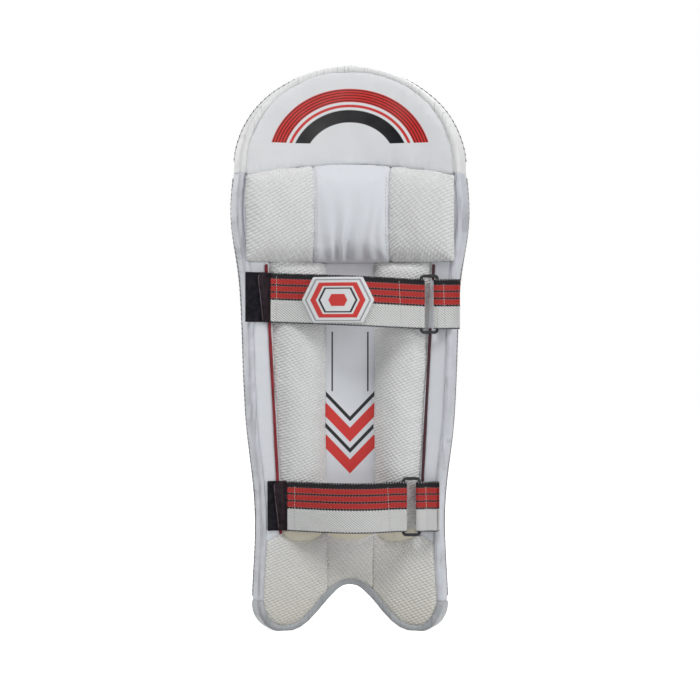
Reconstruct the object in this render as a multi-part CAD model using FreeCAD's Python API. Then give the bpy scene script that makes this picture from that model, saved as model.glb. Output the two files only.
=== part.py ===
"""Cricket leg pad for the left leg: padded front, flexing top hat, padded inner face and two buckled straps.

Frame: +Z up, +X to the wearer's left, +Y to the wearer's back. The origin is the centre of the footprint,
on the floor. All lengths are in millimetres.

The pad is bent round the leg on a vertical axis. A point of it is given by x (where it lies across the flat
front of the core sheet), depth (in front of that sheet when positive, behind it when negative) and z.
"""
import FreeCAD, Part
import math
import os

Vector = FreeCAD.Vector

# ---- overall form -----------------------------------------------------------------------------------------
HEIGHT = 710.0
UPPER_HEIGHT = 238.0         # knee rolls and top hat together
KNEE_Z = HEIGHT - UPPER_HEIGHT
BEND_RADIUS = 280.0          # plan radius of the core sheet's front face
GAP = 0.3                    # clearance between neighbouring pieces
LOWER_OUTLINE = [            # height, half width of the outline, from the foot up
    (38.0, 122.0),
    (150.0, 118.0),
    (274.0, 130.0),
]
UPPER_OUTLINE = [            # height over KNEE_Z, half width, up to the foot of the top arch
    (-36.0, 137.0),
    (44.0, 148.0),
    (108.0, 144.0),
]
OUTLINE = LOWER_OUTLINE + [(KNEE_Z + over, half) for over, half in UPPER_OUTLINE]
FOOT_CORNER_Z = OUTLINE[0][0]
ARCH_SPRING_Z = OUTLINE[-1][0]
BINDING_WIDTH = 6.0          # vinyl binding round the whole edge
BINDING_BULGE = 1.5
EDGE_FRONT = 8.0             # the padding thins to this depth at the edge, in front and behind
EDGE_BACK = -9.0
FOOT_FRONT = 18.0            # the padding stays thicker along the foot, which carries the standing pad
FOOT_BACK = -15.0

# ---- foot -------------------------------------------------------------------------------------------------
INSTEP_ARCH_RISE = 58.0
INSTEP_ARCH_FLAT = 10.0      # half width of the arch's crown
LOBE_X = 72.0                # a lobe rests on the floor from here
LOBE_FLAT = 16.0             # over this width
FOOT_PRESS = 0.5             # the binding under the lobes is pressed flat by this much

# ---- knee and top hat -------------------------------------------------------------------------------------
ROLL_HEIGHTS = [             # the knee's seams over KNEE_Z, at the middle and at the edges
    (0.0, -1.0),
    (45.0, 28.0),
    (78.0, 57.0),
    (127.0, 84.0),
]
ROLL_SEAMS = [(KNEE_Z + middle, KNEE_Z + end) for middle, end in ROLL_HEIGHTS]
ROLL_SEAM_DEPTH = 23.0
ROLL_BULGE = 14.0
HAT_SEAMS_X = [-106.0, -70.0, -41.0, -3.0, 42.0, 85.0, 116.0]
HAT_SEAM_LEAN = 8.0          # the seams' upper ends lean this far towards +X
HAT_SEAM_DEPTH = 19.0
HAT_BULGE = 9.0
HAT_SIDE_BULGE = 6.3         # of the outermost two bolsters
HAT_CORNER_ANGLE = 45.0      # the top hat's sheets have their upper corners here on the arch
HAT_FLEX_HEIGHT = 100.0      # the line that the top hat flexes on, over KNEE_Z
HAT_FLEX_Z = KNEE_Z + HAT_FLEX_HEIGHT

# ---- shin -------------------------------------------------------------------------------------------------
SHIN_SEAMS_X = [             # across at the knee, across at the foot
    (-84.0, -79.0),
    (-46.0, -42.0),
    (-8.0, -6.0),
    (36.0, 32.0),
    (80.0, 66.0),
    (118.0, 95.0),
]
SHIN_SEAM_DEPTH = 20.0
SHIN_BULGE = 11.0
SHIN_FULLNESS = 0.22         # lower is fuller along the bolster
SHIN_FALL = 0.35             # how fast the depth changes above the foot
WING_BULGE = 2.0
INSTEP_TOP_Z = 138.0
INSTEP_BULGE = 3.0
INSTEP_SINK = 2.0            # the instep panel's top lies this far behind the shin seams
BADGE_WIDTH = 54.0
BADGE_HEIGHT = 46.0
BADGE_Z = 98.0
BADGE_THICKNESS = 1.6

# ---- core and stiffeners ----------------------------------------------------------------------------------
CORE_THICKNESS = 4.0
CANE_THICKNESS = 3.4
CANE_WIDTH = 22.0
CANE_MARGIN = 12.0           # a cane stops this far inside its bolster's ends
CUP_THICKNESS = 5.0
CUP_HALF_WIDTH = 62.0
CUP_MARGIN = 8.0

# ---- inner face -------------------------------------------------------------------------------------------
LINING_THICKNESS = 7.0
INNER_BOLSTER_X = (33.0, 33.0)         # inner side, at the top and at the bottom
INNER_BOLSTER_OUTER_X = (106.0, 87.0)  # outer side, at the top and at the bottom
INNER_BOLSTER_BULGE = 17.0
INNER_BOLSTER_FLOOR_Z = 112.0
CENTRE_PANEL_SINK = 2.0      # the panel between the bolsters is thinner by this much
INSTEP_LINING_SEAMS_X = (-30.0, 30.0)
INSTEP_LINING_BULGE = 4.0
KNEE_BOLSTER_DROP = 9.0      # the knee bolster starts this far below KNEE_Z
KNEE_BOLSTER_BOTTOM_Z = KNEE_Z - KNEE_BOLSTER_DROP
KNEE_BOLSTER_RISE = (113.0, 95.0)      # its top over KNEE_Z, at the middle and at the ends
KNEE_BOLSTER_TOP_Z = tuple(KNEE_Z + rise for rise in KNEE_BOLSTER_RISE)
KNEE_BOLSTER_SEAMS_X = (-52.0, 48.0)
KNEE_BOLSTER_BULGE = 26.0
KNEE_BOLSTER_EDGE = 6.0      # its thickness along its sewn edges
KNEE_BOLSTER_SPREAD_RATIO = 1.06       # its rear face is this much wider than its front
TOP_LINING_BULGE = 6.0
PIPING_RADIUS = 1.6
PIPING_OFFSET = 4.0

# ---- straps -----------------------------------------------------------------------------------------------
WEB_WIDTH = 62.0
WEB_THICKNESS = 2.2
UPPER_RING_DROP = 63.0       # middle of the upper ring, below KNEE_Z
RING_WIRE_RADIUS = 2.0
RING_SPACING = 20.0          # between the ring's two upright bars
RING_OVERHANG = 6.0          # the ring's ends stand this far past the webbing
RING_CLEARANCE = 0.3         # webbing round a bar
FOLD_LENGTH = 22.0           # stitched length of the webbing's folded end
TAB_THICKNESS = 1.8
PATCH_THICKNESS = 1.6
BADGE_PLATE_THICKNESS = 3.5
BADGE_BLANK = 1.1            # the badge is cut from a blank this many times as long
STRAP_BADGE_WIDTH = 90.0
STRAP_BADGE_HEIGHT = 57.0
STRAP_BADGE_X = 15.0
STRAPS = {
    "upper": {
        "z": KNEE_Z - UPPER_RING_DROP,     # middle of the ring
        "rise": 9.0,         # the tab's end sits this much higher than the ring
        "bar_x": -88.5,      # the ring's bar that holds the strap
        "bar_lift": 9.0,     # the outer bar stands this far behind the wing lining
        "anchor_x": -136.0,
        "bow": 17.0,
        "crown_x": 76.0,     # where the strap crosses the inner bolster
        "web_end_x": 99.0,
        "tab_x": (90.0, 115.0),
        "land_x": 106.0,     # the tab meets the loop patch from here on
        "patch_x": (103.0, 130.0),
        "badge": True,
    },
    "lower": {
        "z": 157.0,
        "rise": 0.0,
        "bar_x": -66.5,
        "bar_lift": 15.5,
        "anchor_x": -111.0,
        "bow": 20.0,
        "crown_x": 68.0,
        "web_end_x": 78.0,
        "tab_x": (70.0, 96.0),
        "land_x": 92.0,
        "patch_x": (88.0, 103.0),
        "badge": False,
    },
}
STRAP_LIFT = 7.0             # webbing's middle over the inner bolster's crown
TAB_REST = 0.7               # the hook tab lies this far off the loop patch

# ---- places that follow from the sizes above --------------------------------------------------------------
INNER_LAYER = -(CORE_THICKNESS + GAP)                  # the linings' front faces
LINING_DEPTH = INNER_LAYER - LINING_THICKNESS          # the linings' rear faces
EDGE_INSET = BINDING_WIDTH + GAP
FRONT_REACH = BEND_RADIUS + ROLL_SEAM_DEPTH + ROLL_BULGE
INSTEP_TOP_DEPTH = SHIN_SEAM_DEPTH - INSTEP_SINK
BAR_CLEAR = RING_WIRE_RADIUS + RING_CLEARANCE + WEB_THICKNESS / 2   # bar's axis to the webbing's middle

PARTS = {}


def place(x, depth, z):
    """Point of the bent pad."""
    angle = math.asin(x / BEND_RADIUS)
    reach = BEND_RADIUS + depth
    return Vector(reach * math.sin(angle), BEND_CENTRE_Y - reach * math.cos(angle), z)


def flat_x(x, depth):
    """Where a point that lies at x in space and at this depth belongs across the flat core."""
    return x * BEND_RADIUS / (BEND_RADIUS + depth)


def bar_reach(strap):
    """Distance along Y from the bend's axis to the strap's ring bars."""
    around = BEND_RADIUS + LINING_DEPTH - strap["bar_lift"]
    across = strap["bar_x"] - RING_SPACING
    return math.sqrt(around * around - across * across)


def bar_y(strap):
    return BEND_CENTRE_Y - bar_reach(strap)


def rear_reach():
    """Distance from the bend's axis to the rear of the upper strap's badge, at the middle of the bow."""
    strap = STRAPS["upper"]
    bow = bar_reach(strap) - BAR_CLEAR - strap["bow"]
    return bow - WEB_THICKNESS / 2 - GAP - BADGE_PLATE_THICKNESS


BEND_CENTRE_Y = (FRONT_REACH + rear_reach()) / 2


# ---- outline ----------------------------------------------------------------------------------------------
def through(stations, at):
    """Smooth curve through (position, value) stations."""
    last = len(stations) - 1
    i = 0
    while i < last - 1 and at > stations[i + 1][0]:
        i += 1

    def slope(k):
        before = stations[max(k - 1, 0)]
        after = stations[min(k + 1, last)]
        return (after[1] - before[1]) / (after[0] - before[0])

    (a, low), (b, high) = stations[i], stations[i + 1]
    width = b - a
    t = min(max((at - a) / width, 0.0), 1.0)
    ease = t * t * (3 - 2 * t)
    bend = width * t * (1 - t) * (slope(i) * (1 - t) - slope(i + 1) * t)
    return low + (high - low) * ease + bend


def edge_x(z, inset=EDGE_INSET):
    """Half width of the padding across the flat core, inside the binding."""
    return flat_x(through(OUTLINE, z), EDGE_FRONT) - inset


def arch(angle, inset=EDGE_INSET):
    """Point on the top arch; the angle runs from -90 at its left foot to 90 at its right foot."""
    turn = math.radians(angle)
    across = edge_x(ARCH_SPRING_Z, inset)
    rise = HEIGHT - ARCH_SPRING_Z - inset
    return across * math.sin(turn), ARCH_SPRING_Z + rise * math.cos(turn)


def arch_angle(x, inset=EDGE_INSET):
    return math.degrees(math.asin(x / edge_x(ARCH_SPRING_Z, inset)))


def corner_start():
    return LOBE_X + LOBE_FLAT


def foot_z(x):
    """Lower edge of the padding, inside the binding: instep arch, two lobes, rounded outer corners."""
    across = abs(x)
    if across <= LOBE_X:
        t = min((LOBE_X - across) / (LOBE_X - INSTEP_ARCH_FLAT), 1.0)
        return BINDING_WIDTH + GAP + INSTEP_ARCH_RISE * t * t * (3 - 2 * t)
    width = edge_x(FOOT_CORNER_Z) - corner_start()
    t = min(max((across - corner_start()) / width, 0.0), 1.0)
    rise = FOOT_CORNER_Z - BINDING_WIDTH - GAP
    return BINDING_WIDTH + GAP + rise * (1 - math.sqrt(1 - t * t))


def foot_line(s):
    """Point on the padding's lower edge, from one outer corner to the other."""
    corner_x = edge_x(FOOT_CORNER_Z)
    x = corner_x * math.sin(math.pi * (s - 0.5))
    return x, (FOOT_CORNER_Z if s in (0, 1) else foot_z(x))


def roll_seam(level, x):
    """Height of an arched knee seam."""
    middle, end = ROLL_SEAMS[level]
    across = x / edge_x(end, 0.0)
    return end + (middle - end) * (1 - across * across)


def knee_bolster_top(x):
    middle, end = KNEE_BOLSTER_TOP_Z
    across = x / edge_x(end)
    return end + (middle - end) * (1 - across * across)


# ---- padded cells -----------------------------------------------------------------------------------------
def steps(count):
    """Even steps from 0 to 1."""
    return [k / count for k in range(count + 1)]


FINE = steps(16)
LONG = (0.0, 0.03, 0.1, 0.25, 0.42, 0.58, 0.75, 0.9, 0.97, 1.0)
SHORT = (0.0, 0.1, 0.28, 0.5, 0.72, 0.9, 1.0)


def crest(t, fullness):
    """0 at both ends, 1 in the middle; a low fullness value gives a fuller, flatter top."""
    if t <= 0 or t >= 1:
        return 0.0
    return math.sin(math.pi * t) ** fullness


def pillow(corners, bulge, across=0.8, along=0.3, fall=3.0):
    """Depth over a cell: from its corner depths (low left, low right, top left, top right), plus a bulge."""
    low_left, low_right, top_left, top_right = corners

    def depth(s, t):
        low = low_left + (low_right - low_left) * s
        top = top_left + (top_right - top_left) * s
        return low + (top - low) * t ** fall + bulge * crest(s, across) * crest(t, along)

    return depth


def flat(depth):
    return lambda s, t: depth


def upright(low, top):
    """Side of a cell: a straight line between two (x, z) points."""
    return lambda t: (low[0] + (top[0] - low[0]) * t, low[1] + (top[1] - low[1]) * t)


def level(x_left, x_right, height):
    """Bottom or top of a cell: height is a function of x."""

    def edge(s):
        x = x_left + (x_right - x_left) * s
        return x, height(x)

    return edge


def cell(name, bottom, top, left, right, back, front, columns=SHORT, rows=LONG, spread=1.0):
    """Closed solid over a four-sided patch, between a back depth and a front depth.

    spread widens the back of the cell against its front.
    """

    def spot(s, t, depth, widen):
        b, u, l, r = bottom(s), top(s), left(t), right(t)
        c00, c10, c01, c11 = bottom(0), bottom(1), top(0), top(1)
        point = []
        for k in (0, 1):
            sides = (1 - t) * b[k] + t * u[k] + (1 - s) * l[k] + s * r[k]
            twice = (1 - s) * (1 - t) * c00[k] + s * (1 - t) * c10[k] + (1 - s) * t * c01[k] + s * t * c11[k]
            point.append(sides - twice)
        return place(point[0] * widen, depth(s, t), point[1])

    skins = []
    for depth, widen in ((back, spread), (front, 1.0)):
        skin = Part.BSplineSurface()
        skin.interpolate([[spot(s, t, depth, widen) for t in rows] for s in columns])
        skins.append(skin)
    return keep(name, closed(skins))


def closed(skins):
    """Solid between two surfaces of the same layout."""
    rims = []
    for skin in skins:
        u0, u1, v0, v1 = skin.bounds()
        curves = (skin.uIso(u0), skin.uIso(u1), skin.vIso(v0), skin.vIso(v1))
        rims.append([curve.toShape() for curve in curves])
    faces = [skin.toShape() for skin in skins]
    faces += [Part.makeRuledSurface(a, b) for a, b in zip(*rims)]
    shell = Part.makeCompound(faces)
    shell.sewShape(0.001)
    return outward(Part.Solid(shell.Shells[0]))


def outward(solid):
    if solid.Volume < 0:
        solid.reverse()
    return solid


def keep(name, shape):
    PARTS.setdefault(name, []).append(shape)
    return shape


# ---- front ------------------------------------------------------------------------------------------------
def shin_seam(index, z):
    """Across position of a shin seam at a height."""
    top, low = SHIN_SEAMS_X[index]
    knee = ROLL_SEAMS[0][0]
    return low + (top - low) * z / knee


def edge_side(sign, low_z, top_z, inset=EDGE_INSET):
    """Side of a cell along the pad's outline."""

    def side(t):
        z = low_z + (top_z - low_z) * t
        return sign * edge_x(z, inset), z

    return side


def corner_run(x_from, x_to):
    """Bottom of an outermost cell: its points crowd towards the rounded outer corner."""
    sign = math.copysign(1.0, x_to)

    def run(s):
        ease = math.sin(math.pi * s / 2)
        x = x_from + (x_to - x_from) * ease
        return x, (FOOT_CORNER_Z if s == 1 else foot_z(sign * abs(x)))

    return run


def backwards(edge):
    return lambda s: edge(1 - s)


def shin_front():
    knee = lambda x: roll_seam(0, x) - GAP
    cane_room = CANE_THICKNESS + 2 * GAP
    corner_x = edge_x(FOOT_CORNER_Z)
    last = len(SHIN_SEAMS_X) - 1
    middle = (2, 3)
    for i in range(1, last + 1):
        foot = INSTEP_TOP_Z + GAP if i in middle else None
        x_low = [shin_seam(k, foot or foot_z(shin_seam(k, 0))) for k in (i - 1, i)]
        x_top = [shin_seam(k, ROLL_SEAMS[0][0]) for k in (i - 1, i)]
        x_low = [x_low[0] + GAP / 2, x_low[1] - GAP / 2]
        x_top = [x_top[0] + GAP / 2, x_top[1] - GAP / 2]
        height = (lambda x: INSTEP_TOP_Z + GAP) if foot else foot_z
        bottom = level(x_low[0], x_low[1], height)
        top = level(x_top[0], x_top[1], knee)
        low_depth = INSTEP_TOP_DEPTH if foot else FOOT_FRONT
        corners = (low_depth, low_depth, SHIN_SEAM_DEPTH, SHIN_SEAM_DEPTH)
        depth = pillow(corners, SHIN_BULGE, along=SHIN_FULLNESS, fall=SHIN_FALL)
        cell("shin_bolster_%d" % (i + 1), bottom, top, upright(bottom(0), top(0)), upright(bottom(1), top(1)),
             flat(cane_room), depth, columns=FINE)
        highest = max(bottom(s)[1] for s in (0, 0.5, 1))
        cane((bottom(0.5)[0], highest + CANE_MARGIN), (top(0.5)[0], top(0)[1] - CANE_MARGIN))
    # the outermost pieces run out to the pad's edge
    for name, seam, sign in (("shin_bolster_1", 0, -1), ("outer_wing", last, 1)):
        x_low = shin_seam(seam, foot_z(shin_seam(seam, 0))) + sign * GAP / 2
        x_top = shin_seam(seam, ROLL_SEAMS[0][0]) + sign * GAP / 2
        rim = edge_x(knee(edge_x(ROLL_SEAMS[0][1])))
        bottom = corner_run(x_low, sign * corner_x)
        top = level(x_top, sign * rim, knee)
        seam_line = upright(bottom(0), top(0))
        edge = edge_side(sign, FOOT_CORNER_Z, top(1)[1])
        foot_depth = (FOOT_FRONT, EDGE_FRONT)
        knee_depth = (SHIN_SEAM_DEPTH, EDGE_FRONT)
        bulge = SHIN_BULGE if name == "shin_bolster_1" else WING_BULGE
        if sign < 0:
            bottom, top = backwards(bottom), backwards(top)
            foot_depth, knee_depth = foot_depth[::-1], knee_depth[::-1]
        sides = (edge, seam_line) if sign < 0 else (seam_line, edge)
        cell(name, bottom, top, sides[0], sides[1], flat(GAP),
             pillow(foot_depth + knee_depth, bulge, along=SHIN_FULLNESS, fall=SHIN_FALL))
    instep_front(middle)


def cane(low, top, name="shin_canes"):
    """Flat cane rod in the pocket behind a bolster, between two (x, z) points."""
    half = CANE_WIDTH / 2
    left = upright(*[(x - half, z) for x, z in (low, top)])
    right = upright(*[(x + half, z) for x, z in (low, top)])
    cell(name, upright(left(0), right(0)), upright(left(1), right(1)), left, right,
         flat(GAP), flat(GAP + CANE_THICKNESS), rows=SHORT)


def instep_front(middle):
    """Flat panel over the instep, with a plain raised badge."""
    x_low = shin_seam(middle[0] - 1, 0) + GAP / 2
    x_top = shin_seam(middle[1], 0) - GAP / 2
    bottom = level(x_low, x_top, foot_z)
    top = level(x_low, x_top, lambda x: INSTEP_TOP_Z)
    depth_corners = (FOOT_FRONT, FOOT_FRONT, INSTEP_TOP_DEPTH, INSTEP_TOP_DEPTH)
    depth = pillow(depth_corners, INSTEP_BULGE, across=0.4, along=0.3, fall=0.5)
    cell("instep_front_panel", bottom, top, upright(bottom(0), top(0)), upright(bottom(1), top(1)),
         flat(GAP), depth, columns=FINE)
    seat = INSTEP_TOP_DEPTH + INSTEP_BULGE + GAP
    middle_x = (x_low + x_top) / 2
    half = BADGE_WIDTH / 2
    foot = BADGE_Z - BADGE_HEIGHT / 2
    head = BADGE_Z + BADGE_HEIGHT / 2
    taper = BADGE_WIDTH / 12

    def shield_foot(s):
        across = 2 * s - 1
        return middle_x + across * (half - taper), foot + BADGE_HEIGHT / 6 * across * across

    bottom = shield_foot
    top = level(middle_x - half, middle_x + half, lambda x: head)
    cell("instep_badge", bottom, top, upright(bottom(0), top(0)), upright(bottom(1), top(1)),
         flat(seat), flat(seat + BADGE_THICKNESS), rows=SHORT)


def knee_rolls():
    wide = (0.0, 0.02, 0.06, 0.12, 0.2, 0.3, 0.4, 0.5, 0.6, 0.7, 0.8, 0.88, 0.94, 0.98, 1.0)
    for number, name in enumerate(("knee_roll_lower", "knee_roll_middle", "knee_roll_upper")):
        low = lambda x: roll_seam(number, x) + GAP / 2
        high = lambda x: roll_seam(number + 1, x) - GAP / 2
        low_x = edge_x(ROLL_SEAMS[number][1])
        high_x = edge_x(ROLL_SEAMS[number + 1][1])
        bottom = level(-low_x, low_x, low)
        top = level(-high_x, high_x, high)
        left = edge_side(-1, bottom(0)[1], top(0)[1])
        right = edge_side(1, bottom(1)[1], top(1)[1])

        def depth(s, t):
            full = crest(s, 0.35)
            return EDGE_FRONT + (ROLL_SEAM_DEPTH - EDGE_FRONT + ROLL_BULGE * crest(t, 0.7)) * full

        cell(name, bottom, top, left, right, flat(GAP), depth, columns=wide, rows=SHORT)


def top_hat_front():
    """Eight bolsters that fan up to the arch."""
    base = lambda x: roll_seam(3, x) + GAP / 2
    last = len(HAT_SEAMS_X) - 1
    rear = CANE_THICKNESS + 2 * GAP

    def ends(index, shift):
        low_x = HAT_SEAMS_X[index] + shift * GAP / 2
        top_x = low_x + HAT_SEAM_LEAN
        return (low_x, base(low_x)), arch(arch_angle(top_x))

    for i in range(last):
        left_low, left_top = ends(i, 1)
        right_low, right_top = ends(i + 1, -1)
        angles = arch_angle(left_top[0]), arch_angle(right_top[0])
        bottom = level(left_low[0], right_low[0], base)
        top = lambda s: arch(angles[0] + (angles[1] - angles[0]) * s)
        corners = (HAT_SEAM_DEPTH, HAT_SEAM_DEPTH, EDGE_FRONT, EDGE_FRONT)
        cell("top_hat_bolster_%d" % (i + 2), bottom, top, upright(left_low, left_top),
             upright(right_low, right_top), flat(rear), pillow(corners, HAT_BULGE, along=0.35, fall=4.0))
        head = ((left_top[0] + right_top[0]) / 2, min(left_top[1], right_top[1]) - CANE_MARGIN)
        foot = bottom(0.5)
        cane((foot[0], max(bottom(0)[1], bottom(1)[1]) + CANE_MARGIN), head, "top_hat_canes")
    # the outermost two are bounded by the outline
    for number, seam, sign in ((1, 0, -1), (last + 2, last, 1)):
        seam_low, seam_top = ends(seam, sign)
        rim_z = ROLL_SEAMS[3][1] + GAP
        rim_x = edge_x(rim_z)
        stop = arch_angle(seam_top[0])
        split = sign * (90 + abs(stop)) / 2
        bottom = level(seam_low[0], sign * rim_x, base)
        top = lambda s: arch(stop + (split - stop) * s)
        edge = hat_rim(sign, bottom(1)[1], split)
        inner = upright(seam_low, seam_top)
        sides = (inner, edge)
        corners = (HAT_SEAM_DEPTH, EDGE_FRONT, EDGE_FRONT, EDGE_FRONT)
        if sign < 0:
            bottom, top = backwards(bottom), backwards(top)
            sides = sides[::-1]
            corners = (EDGE_FRONT, HAT_SEAM_DEPTH, EDGE_FRONT, EDGE_FRONT)
        cell("top_hat_bolster_%d" % number, bottom, top, sides[0], sides[1], flat(GAP),
             pillow(corners, HAT_SIDE_BULGE, along=0.5, fall=2.0))


def hat_rim(sign, low_z, split, inset=EDGE_INSET):
    """The outline from the knee up to an angle on the arch."""
    straight = ARCH_SPRING_Z - low_z
    turned = abs(math.radians(90 - abs(split))) * (HEIGHT - ARCH_SPRING_Z)
    share = straight / (straight + turned)

    def side(t):
        if t < share:
            z = low_z + straight * t / share
            return sign * edge_x(z, inset), z
        return arch(sign * 90 + (split - sign * 90) * (t - share) / (1 - share), inset)

    return side


# ---- core -------------------------------------------------------------------------------------------------
def core():
    """Bent core sheets: one carries the shin and the knee rolls, the other the top hat."""
    knee = lambda x: roll_seam(3, x) - GAP / 2
    rim = edge_x(ROLL_SEAMS[3][1])
    top = level(-rim, rim, knee)
    left = edge_side(-1, FOOT_CORNER_Z, top(0)[1])
    right = edge_side(1, FOOT_CORNER_Z, top(1)[1])
    cell("core_shin", foot_line, top, left, right, flat(-CORE_THICKNESS), flat(0),
         columns=steps(40), rows=steps(14))
    bottom = level(-rim, rim, lambda x: knee(x) + GAP)
    split = HAT_CORNER_ANGLE
    cell("core_top_hat", bottom, lambda s: arch(split * (2 * s - 1)),
         hat_rim(-1, bottom(0)[1], -split), hat_rim(1, bottom(1)[1], split),
         flat(-CORE_THICKNESS), flat(0), columns=FINE, rows=FINE)


def knee_cup():
    """Dense curved plate over the kneecap, inside the knee bolster."""
    low = KNEE_BOLSTER_BOTTOM_Z + CUP_MARGIN
    high = KNEE_BOLSTER_TOP_Z[0] - 2 * CUP_MARGIN
    bottom = level(-CUP_HALF_WIDTH, CUP_HALF_WIDTH, lambda x: low)
    top = level(-CUP_HALF_WIDTH, CUP_HALF_WIDTH, lambda x: high)
    cell("knee_cup", bottom, top, upright(bottom(0), top(0)), upright(bottom(1), top(1)),
         flat(INNER_LAYER - CUP_THICKNESS), flat(INNER_LAYER), rows=SHORT)


# ---- inner face -------------------------------------------------------------------------------------------
def inner_face():
    low_z = INNER_BOLSTER_FLOOR_Z
    top_z = KNEE_BOLSTER_BOTTOM_Z - GAP
    inner_top, inner_low = INNER_BOLSTER_X
    outer_top, outer_low = INNER_BOLSTER_OUTER_X
    for side, sign in (("left", 1), ("right", -1)):
        low = (sign * inner_low, low_z), (sign * outer_low, low_z)
        top = (sign * inner_top, top_z), (sign * outer_top, top_z)
        if sign < 0:
            low, top = low[::-1], top[::-1]
        depth = pillow((LINING_DEPTH,) * 4, -INNER_BOLSTER_BULGE, across=0.7, along=0.25)
        cell("inner_bolster_" + side, upright(*low), upright(*top), upright(low[0], top[0]),
             upright(low[1], top[1]), depth, flat(INNER_LAYER))
        wing_lining(side, sign, (outer_low, low_z), (outer_top, top_z))
        bolster_piping(side, sign, (outer_low, low_z), (outer_top, top_z))
    half = [INNER_BOLSTER_X[1] - GAP, INNER_BOLSTER_X[0] - GAP]
    bottom = level(-half[0], half[0], lambda x: low_z)
    top = level(-half[1], half[1], lambda x: top_z)
    cell("centre_panel", bottom, top, upright(bottom(0), top(0)), upright(bottom(1), top(1)),
         pillow((LINING_DEPTH + CENTRE_PANEL_SINK,) * 4, -CENTRE_PANEL_SINK), flat(INNER_LAYER))


def wing_lining(side, sign, low, top):
    """Padded lining between an inner bolster and the pad's edge."""
    bottom = level(sign * (low[0] + GAP), sign * edge_x(low[1]), lambda x: low[1])
    head = level(sign * (top[0] + GAP), sign * edge_x(top[1]), lambda x: top[1])
    inner = upright(bottom(0), head(0))
    edge = edge_side(sign, low[1], top[1])
    corners = (LINING_DEPTH, EDGE_BACK, LINING_DEPTH, EDGE_BACK)
    sides = (inner, edge)
    if sign < 0:
        bottom, head = backwards(bottom), backwards(head)
        sides = sides[::-1]
        corners = (EDGE_BACK, LINING_DEPTH, EDGE_BACK, LINING_DEPTH)
    cell("wing_lining_" + side, bottom, head, sides[0], sides[1], pillow(corners, 0.0), flat(INNER_LAYER))


def bolster_piping(side, sign, low, top):
    """Thin piping along the outer foot of an inner bolster; the straps' sewn ends interrupt it."""
    depth = LINING_DEPTH - PIPING_RADIUS - GAP
    breaks = [low[1]]
    for which in ("lower", "upper"):
        middle = STRAPS[which]["z"] + (STRAPS[which]["rise"] if sign > 0 else 0)
        breaks += [middle - WEB_WIDTH / 2 - PIPING_OFFSET, middle + WEB_WIDTH / 2 + PIPING_OFFSET]
    breaks.append(top[1] - PIPING_OFFSET)
    for start, stop in zip(breaks[::2], breaks[1::2]):
        ends = []
        for z in (start, stop):
            x = low[0] + (top[0] - low[0]) * (z - low[1]) / (top[1] - low[1])
            ends.append(place(sign * (x + PIPING_OFFSET), depth, z))
        line = ends[1] - ends[0]
        keep("bolster_piping_" + side, Part.makeCylinder(PIPING_RADIUS, line.Length, ends[0], line))


def instep_lining():
    """Three mesh panels behind the instep and the lobes."""
    top_z = INNER_BOLSTER_FLOOR_Z - GAP
    corner_x = edge_x(FOOT_CORNER_Z)
    left_seam, right_seam = INSTEP_LINING_SEAMS_X
    bottom = level(left_seam + GAP / 2, right_seam - GAP / 2, foot_z)
    top = level(left_seam + GAP / 2, right_seam - GAP / 2, lambda x: top_z)
    low_depth, top_depth = FOOT_BACK, LINING_DEPTH
    corners = (low_depth, low_depth, top_depth, top_depth)
    cell("instep_lining_middle", bottom, top, upright(bottom(0), top(0)), upright(bottom(1), top(1)),
         pillow(corners, -INSTEP_LINING_BULGE), flat(INNER_LAYER), columns=FINE, rows=SHORT)
    for side, sign, seam in (("left", 1, right_seam), ("right", -1, left_seam)):
        x_in = seam + sign * GAP / 2
        bottom = corner_run(x_in, sign * corner_x)
        top = level(x_in, sign * edge_x(top_z), lambda x: top_z)
        inner = upright(bottom(0), top(0))
        edge = edge_side(sign, FOOT_CORNER_Z, top_z)
        sides = (inner, edge)
        corners = (low_depth, EDGE_BACK, top_depth, EDGE_BACK)
        if sign < 0:
            bottom, top = backwards(bottom), backwards(top)
            sides = sides[::-1]
            corners = (EDGE_BACK, low_depth, EDGE_BACK, top_depth)
        cell("instep_lining_" + side, bottom, top, sides[0], sides[1],
             pillow(corners, -INSTEP_LINING_BULGE), flat(INNER_LAYER),
             columns=FINE, rows=SHORT)


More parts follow.
